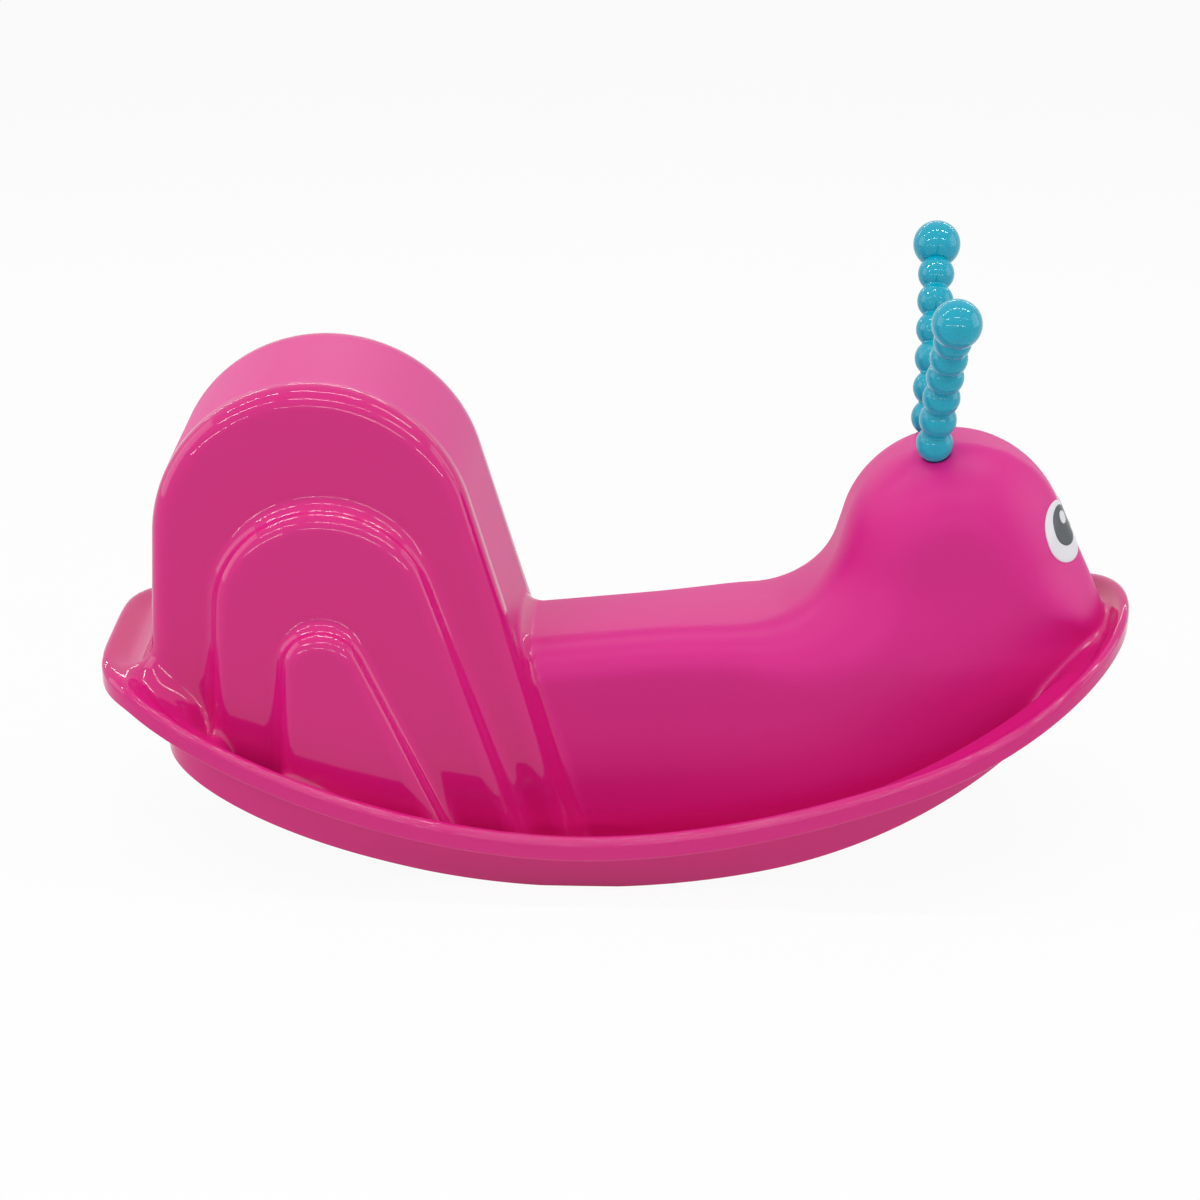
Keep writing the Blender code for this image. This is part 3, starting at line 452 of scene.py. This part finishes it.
class Skin:  # gathers patches of one closed mesh and sews their open edges together
    def __init__(self):
        self.points = []
        self.normals = []
        self.faces = []

    def addPatch(self, points, faces, field=None):
        start = len(self.points)
        normals = slopeAt(field, points) if field else np.zeros_like(points)
        normals /= np.maximum(np.linalg.norm(normals, axis=1), 1e-9)[:, None]
        self.points.extend(points)
        self.normals.extend(normals)
        faces = [tuple(int(i) + start for i in face) for face in faces]
        self.faces.extend(faces)
        return openLoops(faces)

    def addRows(self, rows):
        # closed rows of equal length, each running anticlockwise as seen from outside the one before it
        count = len(rows[0])
        points = np.concatenate(rows)
        faces = []
        for row in range(len(rows) - 1):
            for i in range(count):
                j = (i + 1) % count
                faces.append((row * count + i, row * count + j, (row + 1) * count + j, (row + 1) * count + i))
        loops = self.addPatch(points, faces)
        return sorted(loops, key=lambda loop: min(loop))

    def sew(self, loop, other):
        other = other[::-1]
        spot = np.array([self.points[i] for i in loop])
        goal = np.array([self.points[i] for i in other])
        first = int(np.argmin(((goal - spot[0]) ** 2).sum(1)))
        other = other[first:] + other[:first] + [other[first]]
        loop = loop + [loop[0]]
        i = j = 0
        while i < len(loop) - 1 or j < len(other) - 1:
            gapA = gapB = math.inf
            if i < len(loop) - 1:
                gapA = np.linalg.norm(self.points[loop[i + 1]] - self.points[other[j]])
            if j < len(other) - 1:
                gapB = np.linalg.norm(self.points[loop[i]] - self.points[other[j + 1]])
            if gapA <= gapB:
                self.faces.append((loop[i + 1], loop[i], other[j]))
                i += 1
            else:
                self.faces.append((other[j], other[j + 1], loop[i]))
                j += 1

    def cap(self, loop):
        centre = len(self.points)
        self.points.append(np.mean([self.points[i] for i in loop], axis=0))
        self.normals.append(np.zeros(3))
        for a, b in zip(loop, loop[1:] + loop[:1]):
            self.faces.append((b, a, centre))

    def build(self, name):
        mesh = bpy.data.meshes.new(name)
        mesh.from_pydata([tuple(p) for p in self.points], [], self.faces)
        mesh.shade_smooth()
        mesh.update()
        normals = np.array(self.normals)
        own = np.zeros(len(normals) * 3)
        mesh.vertices.foreach_get("normal", own)
        own = own.reshape(-1, 3)
        bare = np.linalg.norm(normals, axis=1) < 0.5
        normals[bare] = own[bare]
        mesh.normals_split_custom_set_from_vertices([tuple(n) for n in normals])
        made = bpy.data.objects.new(name, mesh)
        bpy.context.collection.objects.link(made)
        return made


def rimLine(count):
    # evenly spaced points and inward directions along the rim
    fine = np.linspace(0, 2 * math.pi, 24001)
    half = tray["width"] / 2
    widest = tray["length"] / 2 - tray["widestFromFront"]
    ahead = np.cos(fine) > 0
    power = np.where(ahead, tray["frontPower"], tray["rearPower"])
    reach = np.where(ahead, tray["widestFromFront"], widest + tray["length"] / 2)
    x = widest + reach * np.sign(np.cos(fine)) * np.abs(np.cos(fine)) ** (2 / power)
    y = half * np.sign(np.sin(fine)) * np.abs(np.sin(fine)) ** (2 / power)
    return evenLine(x, y, count)


def evenLine(x, y, count):
    length = np.concatenate([[0], np.cumsum(np.hypot(np.diff(x), np.diff(y)))])
    goal = length[-1] * np.arange(count) / count
    x, y = np.interp(goal, length, x), np.interp(goal, length, y)
    alongX, alongY = np.roll(x, -1) - np.roll(x, 1), np.roll(y, -1) - np.roll(y, 1)
    size = np.hypot(alongX, alongY)
    return x, y, -alongY / size, alongX / size


def tubLine(count):
    # the tub's outside corner, from above: the rim's line made smaller and then pressed onto the tub
    points = np.stack(rimLine(4000)[:2], 1) * net["tubStart"]
    step = net["probe"]

    def wall(a, b):
        return troughDistance(a, b, underZ(a) + 0.001, tray["wall"])

    for _ in range(25):
        a, b = points.T
        slope = [wall(a + step, b) - wall(a - step, b), wall(a, b + step) - wall(a, b - step)]
        slope = np.stack(slope, 1) / (2 * step)
        share = wall(a, b) / np.maximum((slope ** 2).sum(1), net["leastSlope"])
        points = points - slope * np.clip(share, -net["tubPush"], net["tubPush"])[:, None]
    points = np.concatenate([points, points[:1]])
    return evenLine(points[:, 0], points[:, 1], count)


def roundEdge(line, level, radius, sweep, steps):
    # rows of points that turn inwards and down round an edge
    x, y, inX, inY = line
    rows = []
    for k in range(steps + 1):
        turn = sweep * k / steps
        inset = radius - radius * math.cos(turn)
        px, py = x + inX * inset, y + inY * inset
        rows.append(np.stack([px, py, level(px) + radius - radius * math.sin(turn)], 1))
    return rows


def cupRows(base, root):
    # rings of points from the head's skin down into the round cup of a handle's lowest bead
    across = np.cross(root, (1.0, 0, 0))
    across /= np.linalg.norm(across)
    other = np.cross(root, across)
    count = net["cupPoints"]
    turns = np.arange(count) * 2 * math.pi / count
    ring = np.outer(np.cos(turns), across) + np.outer(np.sin(turns), other)
    rows = []
    cup = stalk["cup"]
    edge = stalk["cupEdge"]
    mouthRings = ((cup + stalk["cupMargin"], 0), (cup + edge, 0), (cup + edge * 0.3, edge * 0.3), (cup, edge))
    for radius, sink in mouthRings:
        along = np.zeros(count)
        for _ in range(25):
            reach = np.sqrt(radius * radius - along * along)
            here = base + ring * reach[:, None] + np.outer(along, root)
            along -= topSide(*here.T) / np.maximum(slopeAt(topSide, here) @ root, 0.2)
            along = np.clip(along, -0.8 * radius, 0.8 * radius)
        rows.append(base + ring * reach[:, None] + np.outer(along - sink, root))
    mouth = np.arccos(((rows[-1] - base) @ root) / np.linalg.norm(rows[-1] - base, axis=1))
    foot = math.pi - math.asin(stalk["cupFoot"] / cup)
    for share in (0.2, 0.4, 0.6, 0.8, 1.0):
        turn = mouth + (foot - mouth) * share
        rows.append(base + ring * (cup * np.sin(turn))[:, None] + np.outer(cup * np.cos(turn), root))
    for radius, depth in stalk["cupFloor"]:
        rows.append(base + ring * radius - root * depth)
    return rows


def makeBody():
    skin = Skin()
    wall = tray["wall"]

    # top side, cut at the lip and round the two cups
    points, quads, low = netSkin(topSide, net["grid"])
    dropped = low & (rimDistance(points[:, 0], points[:, 1]) > -net["lipCut"])
    for side in (-1, 1):
        dropped |= np.linalg.norm(points - stalkFrame(side)[0], axis=1) < stalk["cupCut"]
    points, quads = keepOnly(points, quads, dropped)
    topLoops = skin.addPatch(points, quads.tolist(), topSide)
    topLoops.sort(key=len)
    print("top side", len(quads), "quads,", len(topLoops), "open edges", [len(loop) for loop in topLoops])

    # underside, cut at the lip and along the tub's bottom corner
    points, quads, low = netSkin(underSide, net["gridBelow"])
    rim = rimDistance(points[:, 0], points[:, 1])
    height = points[:, 2] - underZ(points[:, 0])
    tub = troughDistance(*points.T, wall)
    dropped = low & (rim > -net["lipCutBelow"])
    dropped |= (height < net["cornerCut"]) & (tub > -net["tubCut"]) & (rim < -net["lipCutBelow"])
    points, quads = keepOnly(points, quads, dropped)
    underLoops = skin.addPatch(points, quads.tolist(), underSide)
    underLoops.sort(key=lambda loop: -max(abs(skin.points[i][1]) for i in loop))
    print("underside", len(quads), "quads,", len(underLoops), "open edges", [len(loop) for loop in underLoops])

    # rounded lower edge of the lip
    rows = roundEdge(rimLine(net["rimPoints"]), lipZ, wall / 2, math.pi, 8)
    outer, inner = skin.addRows(rows[::-1])[::-1]
    skin.sew(topLoops[-1], outer)
    skin.sew(underLoops[0], inner)

    # crisp bottom corner of the tub, from its wall to its floor
    line = tubLine(net["tubPoints"])
    x, y, inX, inY = line
    rows = []
    for height in hollow["cornerRows"]:
        row = np.stack([x, y, underZ(x) + height], 1)
        rows.append(pressOn(lambda a, b, c: troughDistance(a, b, c, wall), row))
    rows += roundEdge(line, underZ, tray["cornerRadius"], math.pi / 2, 4)
    px, py = x + inX * hollow["cornerInset"], y + inY * hollow["cornerInset"]
    rows.append(np.stack([px, py, underZ(px)], 1))
    outer, inner = skin.addRows(rows[::-1])[::-1]
    skin.sew(underLoops[1], outer)
    skin.sew(underLoops[2], inner)

    # cups for the handles' lowest beads
    for side in (-1, 1):
        base, root = stalkFrame(side)
        mouth, floor = skin.addRows(cupRows(base, root))
        nearest = min(topLoops[:2], key=lambda loop: abs(skin.points[loop[0]][1] - base[1]))
        skin.sew(nearest, mouth)
        skin.cap(floor)
    return skin.build("bodyMoulding")


texture = {
    # the second pink is the same pigment painted a little bluer: a painted sheen of the overhead light on the matt
    # top surfaces
    "polished": "#D91A80", "mattAndPaintedSheen": "#DA1A8A", "gloss": 0.04, "mattRoughness": 0.44,
    "grainMm": 0.9, "depthMm": 0.05, "polishedGrain": 0.02, "mattGrain": 0.35,
    "bandHalfWidth": 0.0760, "bandFade": 0.008, "bandDepth": 0.006, "bandEnd": 0.004,
    "aboveLip": -0.030, "fade": 0.040, "near": 0.003, "nearFade": 0.002,
}


def markTexture(made):
    # 1 where the mould has its fine texture, 0 where it is polished; the material also uses it to paint a bluer
    # sheen tint there
    points = np.array([v.co[:] for v in made.data.vertices])
    x, y, z = points.T
    outer = archDistance(x, z, shell["outer"], shell["rearLean"])
    band = soft((texture["bandHalfWidth"] - np.abs(y)) / texture["bandFade"])
    band = band * soft((texture["bandDepth"] + outer) / texture["bandEnd"])
    above = soft((z - lipZ(x) - texture["aboveLip"]) / texture["fade"])
    onRidge = soft((texture["near"] - np.abs(ridgeDistance(x, y, z, 0))) / texture["nearFade"]) * above
    onShell = soft((texture["near"] - np.abs(shellDistance(x, y, z, 0))) / texture["nearFade"]) * above
    amount = np.maximum(band * onShell, onRidge * (1 - onShell))
    layer = made.data.attributes.new("fineTexture", "FLOAT", "POINT")
    layer.data.foreach_set("value", amount.astype(np.float32))


def rideAndReplace(piece, slotName, *nodes):
    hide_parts(*nodes)
    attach(piece, "root")


# Materials

def makeMaterial(name, base, roughness, ior=1.5, metallic=0.0):
    material = bpy.data.materials.new(name)
    material.use_nodes = True
    shader = material.node_tree.nodes["Principled BSDF"]
    shader.inputs["Base Color"].default_value = colour(base)
    shader.inputs["Roughness"].default_value = roughness
    shader.inputs["IOR"].default_value = ior
    shader.inputs["Metallic"].default_value = metallic
    shader.inputs["Specular IOR Level"].default_value = 0.5 if metallic else 0.4
    return material, material.node_tree, shader


def makePolypropylene():
    # injection-moulded polypropylene: deep pink, polished sides, fine matt texture where a child sits; on the matt
    # parts the pink is painted a little bluer as a painted sheen of the overhead light
    material, tree, shader = makeMaterial("pinkPolypropylene", texture["polished"], texture["gloss"], 1.49)
    place = addNode(tree, "ShaderNodeTexCoord")
    mattAndPaintedSheen = addNode(tree, "ShaderNodeAttribute", attribute_name="fineTexture")
    rough = addNode(tree, "ShaderNodeMapRange", {"Value": (mattAndPaintedSheen, "Fac")},
                    To_Min=texture["gloss"], To_Max=texture["mattRoughness"])
    # painted sheen: the matt parts, mostly facing up, get a bluer pink in place of the sheen the overhead light
    # gives them
    paintedSheenTint = addNode(tree, "ShaderNodeMix", {"Factor": (mattAndPaintedSheen, "Fac")}, data_type="RGBA",
                   A=colour(texture["polished"]), B=colour(texture["mattAndPaintedSheen"]))
    grain = addNode(tree, "ShaderNodeTexNoise", {"Vector": (place, "Object")},
                    Scale=1000 / texture["grainMm"], Detail=2.0)
    depth = addNode(tree, "ShaderNodeMapRange", {"Value": (mattAndPaintedSheen, "Fac")},
                    To_Min=texture["polishedGrain"], To_Max=texture["mattGrain"])
    bump = addNode(tree, "ShaderNodeBump", {"Height": (grain, "Fac"), "Strength": (depth, "Result")},
                   Distance=texture["depthMm"] / 1000)
    tree.links.new(paintedSheenTint.outputs["Result"], shader.inputs["Base Color"])
    tree.links.new(rough.outputs["Result"], shader.inputs["Roughness"])
    tree.links.new(bump.outputs["Normal"], shader.inputs["Normal"])
    return material


def makeTeal():
    # injection-moulded polypropylene from a polished mould: wet-looking gloss, a hair-thin seam between halves
    material, tree, shader = makeMaterial("tealPolypropylene", "#02A6C1", 0.06, 1.49)
    forward = math.radians(stalk["forward"])
    place = addNode(tree, "ShaderNodeTexCoord")
    moved = addNode(tree, "ShaderNodeVectorMath", {0: (place, "Object")}, operation="SUBTRACT")
    moved.inputs[1].default_value = (stalk["x"], 0, stalk["z"])
    across = addNode(tree, "ShaderNodeVectorMath", {0: (moved, "Vector")}, operation="DOT_PRODUCT")
    across.inputs[1].default_value = (math.cos(forward), 0, -math.sin(forward))
    away = addNode(tree, "ShaderNodeMath", {0: (across, "Value")}, operation="ABSOLUTE")
    seam = addNode(tree, "ShaderNodeMapRange", {"Value": (away, "Value")}, From_Min=0.0, From_Max=stalk["seam"])
    bump = addNode(tree, "ShaderNodeBump", {"Height": (seam, "Result")}, Strength=0.7, Distance=stalk["seam"])
    tree.links.new(bump.outputs["Normal"], shader.inputs["Normal"])
    return material


def makeVinyl(name, base, roughness):
    # printed soft vinyl: smooth ink with the slight orange peel of a pressed label
    material, tree, shader = makeMaterial(name, base, roughness, 1.53)
    place = addNode(tree, "ShaderNodeTexCoord")
    peel = addNode(tree, "ShaderNodeTexNoise", {"Vector": (place, "Object")}, Scale=350.0, Detail=1.0)
    bump = addNode(tree, "ShaderNodeBump", {"Height": (peel, "Fac")}, Strength=0.12, Distance=0.0002)
    tree.links.new(bump.outputs["Normal"], shader.inputs["Normal"])
    return material


def makeZinc():
    # zinc-plated steel: soft grey metal with a cloudy blue-white passivation
    material, tree, shader = makeMaterial("zincPlatedSteel", "#C4C6CA", 0.35, metallic=1.0)
    place = addNode(tree, "ShaderNodeTexCoord")
    cloud = addNode(tree, "ShaderNodeTexNoise", {"Vector": (place, "Object")}, Scale=260.0, Detail=4.0)
    rough = addNode(tree, "ShaderNodeMapRange", {"Value": (cloud, "Fac")}, To_Min=0.26, To_Max=0.46)
    tree.links.new(rough.outputs["Result"], shader.inputs["Roughness"])
    return material


body = makeBody()
markTexture(body)
body.data.materials.append(makePolypropylene())
rideAndReplace(body, "pink_polypropylene", "body_shell")
print("body made", len(body.data.vertices), "points")


# Handles: each a stalk of beads, one Geometry Nodes tree with its sizes as inputs

def makeStalkTree(material):
    tree = bpy.data.node_groups.new("beadStalk", "GeometryNodeTree")
    tree.interface.new_socket("Stalk", in_out="OUTPUT", socket_type="NodeSocketGeometry")
    floats = ("Bead Radius", "Pitch", "Knob Radius", "Knob Pitch", "Lean", "Lean Per Bead", "Neck Radius",
              "Forward Lean", "Side", "Stem Radius", "Stem Length")
    tree.interface.new_socket("Beads", in_out="INPUT", socket_type="NodeSocketInt")
    for name in floats:
        tree.interface.new_socket(name, in_out="INPUT", socket_type="NodeSocketFloat")
    tree.interface.new_socket("Base", in_out="INPUT", socket_type="NodeSocketVector")
    given = tree.nodes.new("NodeGroupInput")

    def add(kind, links=None, **settings):
        return addNode(tree, kind, links, **settings)

    def maths(operation, first, second=0.0):
        node = add("ShaderNodeMath", operation=operation)
        for place, value in ((0, first), (1, second)):
            if isinstance(value, tuple):
                tree.links.new(value[0].outputs[value[1]], node.inputs[place])
            else:
                node.inputs[place].default_value = value
        return (node, "Value")

    # each ball's step to the next one leans further than the step before it, and the last ball is the knob
    index = (add("GeometryNodeInputIndex"), "Index")
    lean = maths("ADD", maths("MULTIPLY", index, (given, "Lean Per Bead")), (given, "Lean"))
    sideways = maths("MULTIPLY", maths("SINE", lean), (given, "Side"))
    direction = (add("ShaderNodeCombineXYZ", {"Y": sideways, "Z": maths("COSINE", lean)}), "Vector")
    axis = add("ShaderNodeVectorRotate", {"Vector": direction, "Angle": (given, "Forward Lean")},
               rotation_type="Y_AXIS")
    last = maths("GREATER_THAN", index, maths("SUBTRACT", (given, "Beads"), 0.5))
    lastStep = maths("GREATER_THAN", index, maths("SUBTRACT", (given, "Beads"), 1.5))
    pitch = add("ShaderNodeMix", {"Factor": lastStep, "A": (given, "Pitch"), "B": (given, "Knob Pitch")})
    radius = add("ShaderNodeMix", {"Factor": last, "A": (given, "Bead Radius"), "B": (given, "Knob Radius")})
    step = add("ShaderNodeVectorMath", {0: (axis, "Vector"), "Scale": (pitch, "Result")}, operation="SCALE")
    travelled = add("GeometryNodeAccumulateField", {"Value": (step, "Vector")}, data_type="FLOAT_VECTOR")
    position = add("ShaderNodeVectorMath", {0: (travelled, "Trailing"), 1: (given, "Base")}, operation="ADD")
    centres = add("GeometryNodePoints", {"Count": maths("ADD", (given, "Beads"), 1.0)})
    points = add("GeometryNodeSetPosition", {"Geometry": (centres, "Points"), "Position": (position, "Vector")})
    ball = add("GeometryNodeMeshUVSphere", Segments=48, Rings=24, Radius=1.0)
    beads = add("GeometryNodeInstanceOnPoints", {"Points": (points, "Geometry"), "Instance": (ball, "Mesh"),
                                                 "Scale": (radius, "Result")})
    # a short neck halfway between each two balls
    halfStep = add("ShaderNodeVectorMath", {0: (step, "Vector")}, operation="SCALE", Scale=0.5)
    between = add("GeometryNodeSetPosition", {"Geometry": (points, "Geometry"), "Offset": (halfStep, "Vector")})
    turned = add("FunctionNodeAlignRotationToVector", {"Vector": (axis, "Vector")}, axis="Z")
    neckMesh = add("GeometryNodeMeshCylinder", {"Radius": (given, "Neck Radius"), "Depth": (given, "Bead Radius")},
                   Vertices=40)
    notLast = maths("LESS_THAN", index, maths("SUBTRACT", (given, "Beads"), 0.5))
    necks = add("GeometryNodeInstanceOnPoints", {"Points": (between, "Geometry"), "Instance": (neckMesh, "Mesh"),
                                                 "Rotation": (turned, "Rotation"), "Selection": notLast})
    # one stem below the first ball, down to the cup's floor
    first = maths("LESS_THAN", index, 0.5)
    down = maths("MULTIPLY", (given, "Stem Length"), -0.5)
    stemStep = add("ShaderNodeVectorMath", {0: (axis, "Vector"), "Scale": down}, operation="SCALE")
    below = add("GeometryNodeSetPosition", {"Geometry": (points, "Geometry"), "Offset": (stemStep, "Vector")})
    stemMesh = add("GeometryNodeMeshCylinder", {"Radius": (given, "Stem Radius"), "Depth": (given, "Stem Length")},
                   Vertices=32)
    stems = add("GeometryNodeInstanceOnPoints", {"Points": (below, "Geometry"), "Instance": (stemMesh, "Mesh"),
                                                 "Rotation": (turned, "Rotation"), "Selection": first})
    union = add("GeometryNodeMeshBoolean", operation="UNION", solver="EXACT")
    for node in (beads, necks, stems):
        tree.links.new(node.outputs["Instances"], union.inputs["Mesh 2"])
    real = add("GeometryNodeRealizeInstances", {"Geometry": (union, "Mesh")})
    smooth = add("GeometryNodeSetShadeSmooth", {"Geometry": (real, "Geometry")})
    painted = add("GeometryNodeSetMaterial", {"Geometry": (smooth, "Geometry")}, Material=material)
    result = add("NodeGroupOutput")
    tree.links.new(painted.outputs["Geometry"], result.inputs["Stalk"])
    return tree


def makeStalk(name, side, tree):
    made = bpy.data.objects.new(name, bpy.data.meshes.new(name))
    bpy.context.collection.objects.link(made)
    values = {
        "Beads": stalk["beads"], "Bead Radius": stalk["beadRadius"], "Pitch": stalk["pitch"],
        "Knob Radius": stalk["knobRadius"], "Knob Pitch": stalk["knobPitch"],
        "Lean": math.radians(stalk["lean"]), "Lean Per Bead": math.radians(stalk["leanPerBead"]),
        "Forward Lean": math.radians(stalk["forward"]), "Side": float(side), "Neck Radius": stalk["neck"],
        "Stem Radius": stalk["stemRadius"], "Stem Length": stalk["stemLength"],
        "Base": (stalk["x"], side * stalk["spread"], stalk["z"]),
    }
    modifier = made.modifiers.new("beadStalk", "NODES")
    modifier.node_group = tree
    for item in tree.interface.items_tree:
        if item.in_out == "INPUT":
            modifier[item.identifier] = values[item.name]
    evaluated = made.evaluated_get(bpy.context.evaluated_depsgraph_get())
    made.data = bpy.data.meshes.new_from_object(evaluated)
    made.modifiers.clear()
    made.data.set_sharp_from_angle(angle=math.radians(stalk["sharpAngle"]))
    return made


stalkTree = makeStalkTree(makeTeal())
for side, label in ((-1, "right"), (1, "left")):
    handle = makeStalk("handleStalk_" + label, side, stalkTree)
    halves = ["handle_" + label + half for half in ("_front_half", "_rear_half")]
    rideAndReplace(handle, "teal_polypropylene", *halves)
    print("handle", label, len(handle.data.polygons), "faces")


# Eyes: thin printed discs that follow the face

eye = {  # each disc: radius, how far ahead and up of the eye's middle, its lower and upper face
    "white": (0.0295, 0.0, 0.0, -0.0003, 0.0010),
    "pupil": (0.0195, 0.0035, 0.0050, 0.0008, 0.0013),
    "glint": (0.0062, 0.0045, 0.0125, 0.0012, 0.0016),
    "x": 0.4205, "sideways": 0.0265, "z": 0.3120, "bearing": 32.0, "tilt": 16.0,
    "bevel": 0.0004, "points": 72, "rings": 8,
}


def makeDisc(name, side, sizes, material):
    radius, forward, up, low, high = sizes
    bearing = math.radians(eye["bearing"])
    tilt = math.radians(eye["tilt"])
    level = math.cos(tilt)
    normal = np.array((math.cos(bearing) * level, math.sin(bearing) * level, math.sin(tilt)))
    rise = np.array((0, 0, 1.0)) - normal * normal[2]
    rise /= np.linalg.norm(rise)
    ahead = np.cross(normal, rise)
    centre = np.array((eye["x"], eye["sideways"], eye["z"])) + ahead * forward + rise * up
    turns = np.arange(eye["points"]) * 2 * math.pi / eye["points"]
    ring = np.outer(np.cos(turns), ahead) + np.outer(np.sin(turns), rise)
    rows = []
    # the plan of a disc, as distances from its middle and heights: lower face, bevelled edge, upper face
    bevel = min(eye["bevel"], (high - low) / 3)
    shares = [k / eye["rings"] for k in range(1, eye["rings"])]
    plan = [(radius * share, low) for share in shares] + [(radius, low), (radius, high - bevel)]
    plan += [(radius - bevel * 0.3, high - bevel * 0.3), (radius - bevel, high)]
    plan += [(radius * share, high) for share in shares[::-1]]
    for reach, lift in plan:
        flat = centre + ring * reach
        along = np.zeros(len(flat))
        for _ in range(12):
            here = flat + np.outer(along, normal)
            along -= topSide(*here.T) / np.maximum(slopeAt(topSide, here) @ normal, 0.3)
        here = flat + np.outer(along + lift, normal)
        here[:, 1] *= side
        rows.append(here)
    skin = Skin()
    for loop in skin.addRows(rows if side < 0 else rows[::-1]):
        skin.cap(loop)
    made = skin.build(name)
    made.data.materials.append(material)
    return made


whiteVinyl = makeVinyl("whiteVinyl", "#E6E6EA", 0.32)
darkVinyl = makeVinyl("darkGreyVinyl", "#3A4148", 0.28)
for side, label in ((-1, "right"), (1, "left")):
    for node, sizes, material, slotName in (("eye", eye["white"], whiteVinyl, "white_vinyl"),
                                            ("pupil", eye["pupil"], darkVinyl, "dark_grey_vinyl"),
                                            ("glint", eye["glint"], whiteVinyl, "white_vinyl")):
        disc = makeDisc(node + "Disc_" + label, side, sizes, material)
        rideAndReplace(disc, slotName, node + "_" + label)
print("eyes made")


# The screws and washers under the head keep their CAD shape

zinc = makeZinc()
for label in ("left", "right"):
    for part in ("washer", "screw"):
        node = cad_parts["handle_" + label + "_" + part]
        node.data.materials.clear()
        node.data.materials.append(zinc)


# Studio: hoops of thin tubes overhead, a soft box at each end, a white surround and a white paper floor

studio = {
    "ambient": 0.19, "aim": (0.0, 0.0, 0.25), "floorReach": 8.0, "floorWhite": 0.94,
    "distance": 2.6, "tubeWidth": 0.034, "tubeRadiance": 48.0,
    "rows": ((148.0, 0.5), (90.0, 1.7), (50.0, 1.0), (16.0, 0.6)),  # angle over the object and share of light
    "lengths": ((-37.0, 23.0), (-3.0, 33.0), (31.0, 23.0)),  # angle along the object and how much it spans
    "boxAway": 2.8, "boxHeight": 1.1, "boxSize": 1.8, "boxRadiance": 1.5,
}


def addTube(name, row, share, lean, spread):
    # a tube at an angle over the object (row) and along it (lean), both in degrees
    up = math.radians(row)
    along = math.radians(lean)
    away = Vector((math.sin(along), -math.cos(along) * math.cos(up), math.cos(along) * math.sin(up)))
    length = Vector((math.cos(along), math.sin(along) * math.cos(up), -math.sin(along) * math.sin(up)))
    lamp = bpy.data.objects.new(name, bpy.data.lights.new(name, "AREA"))
    lamp.data.shape = "RECTANGLE"
    lamp.data.size = 2 * studio["distance"] * math.tan(math.radians(spread / 2))
    lamp.data.size_y = studio["tubeWidth"]
    lamp.data.energy = share * studio["tubeRadiance"] * math.pi * lamp.data.size * lamp.data.size_y
    lamp.matrix_world = Matrix((length, away.cross(length), away)).transposed().to_4x4()
    lamp.location = Vector(studio["aim"]) + away * studio["distance"]
    lamp.visible_camera = False
    bpy.context.collection.objects.link(lamp)


def addSideBox(name, side):
    # a large soft box off one end of the object, above it and aimed down at it
    lamp = bpy.data.objects.new(name, bpy.data.lights.new(name, "AREA"))
    lamp.data.size = studio["boxSize"]
    lamp.data.energy = studio["boxRadiance"] * math.pi * studio["boxSize"] ** 2
    lamp.location = (side * studio["boxAway"], 0, studio["boxHeight"])
    lamp.rotation_euler = (Vector(studio["aim"]) - lamp.location).to_track_quat("-Z", "Y").to_euler()
    lamp.visible_camera = False
    bpy.context.collection.objects.link(lamp)


def makeStudio():
    world = bpy.data.worlds.new("studio")
    bpy.context.scene.world = world
    world.use_nodes = True
    tree = world.node_tree
    background = tree.nodes["Background"]
    background.inputs["Color"].default_value = (1, 1, 1, 1)
    # plain white where the camera sees it or a gloss mirrors it, and dimmer as a light
    path = addNode(tree, "ShaderNodeLightPath")
    seen = addNode(tree, "ShaderNodeMath", {0: (path, "Is Camera Ray"), 1: (path, "Is Transmission Ray")},
                   operation="MAXIMUM")
    seen = addNode(tree, "ShaderNodeMath", {0: (seen, "Value"), 1: (path, "Is Glossy Ray")}, operation="MAXIMUM")
    level = addNode(tree, "ShaderNodeMapRange", {"Value": (seen, "Value")}, To_Min=studio["ambient"], To_Max=1.0)
    tree.links.new(level.outputs["Result"], background.inputs["Strength"])

    floor = bpy.data.objects.new("studioFloor", bpy.data.meshes.new("studioFloor"))
    reach = studio["floorReach"]
    corners = [(-reach, -reach, 0), (reach, -reach, 0), (reach, reach, 0), (-reach, reach, 0)]
    floor.data.from_pydata(corners, [], [(0, 1, 2, 3)])
    bpy.context.collection.objects.link(floor)
    # matt white paper: for the camera mostly plain white, with the soft shadow still on it
    paper, tree, shader = makeMaterial("whitePaper", "#F2F2F2", 0.9)
    path = addNode(tree, "ShaderNodeLightPath")
    seen = addNode(tree, "ShaderNodeMath", {0: (path, "Is Camera Ray"), 1: (path, "Is Glossy Ray")},
                   operation="MAXIMUM")
    share = addNode(tree, "ShaderNodeMath", {0: (seen, "Value")}, operation="MULTIPLY")
    share.inputs[1].default_value = studio["floorWhite"]
    plain = addNode(tree, "ShaderNodeEmission", Strength=1.0)
    mixed = addNode(tree, "ShaderNodeMixShader", {0: (share, "Value"), 1: (shader, "BSDF"), 2: (plain, "Emission")})
    tree.links.new(mixed.outputs[0], tree.nodes["Material Output"].inputs["Surface"])
    floor.data.materials.append(paper)

    for row, share in studio["rows"]:
        for part, (lean, spread) in enumerate(studio["lengths"]):
            addTube("tube%d_%d" % (row, part), row, share, lean, spread)
    addSideBox("rearBox", -1)
    addSideBox("frontBox", 1)


makeStudio()
bpy.context.scene.view_settings.view_transform = "Standard"
print("studio lit")
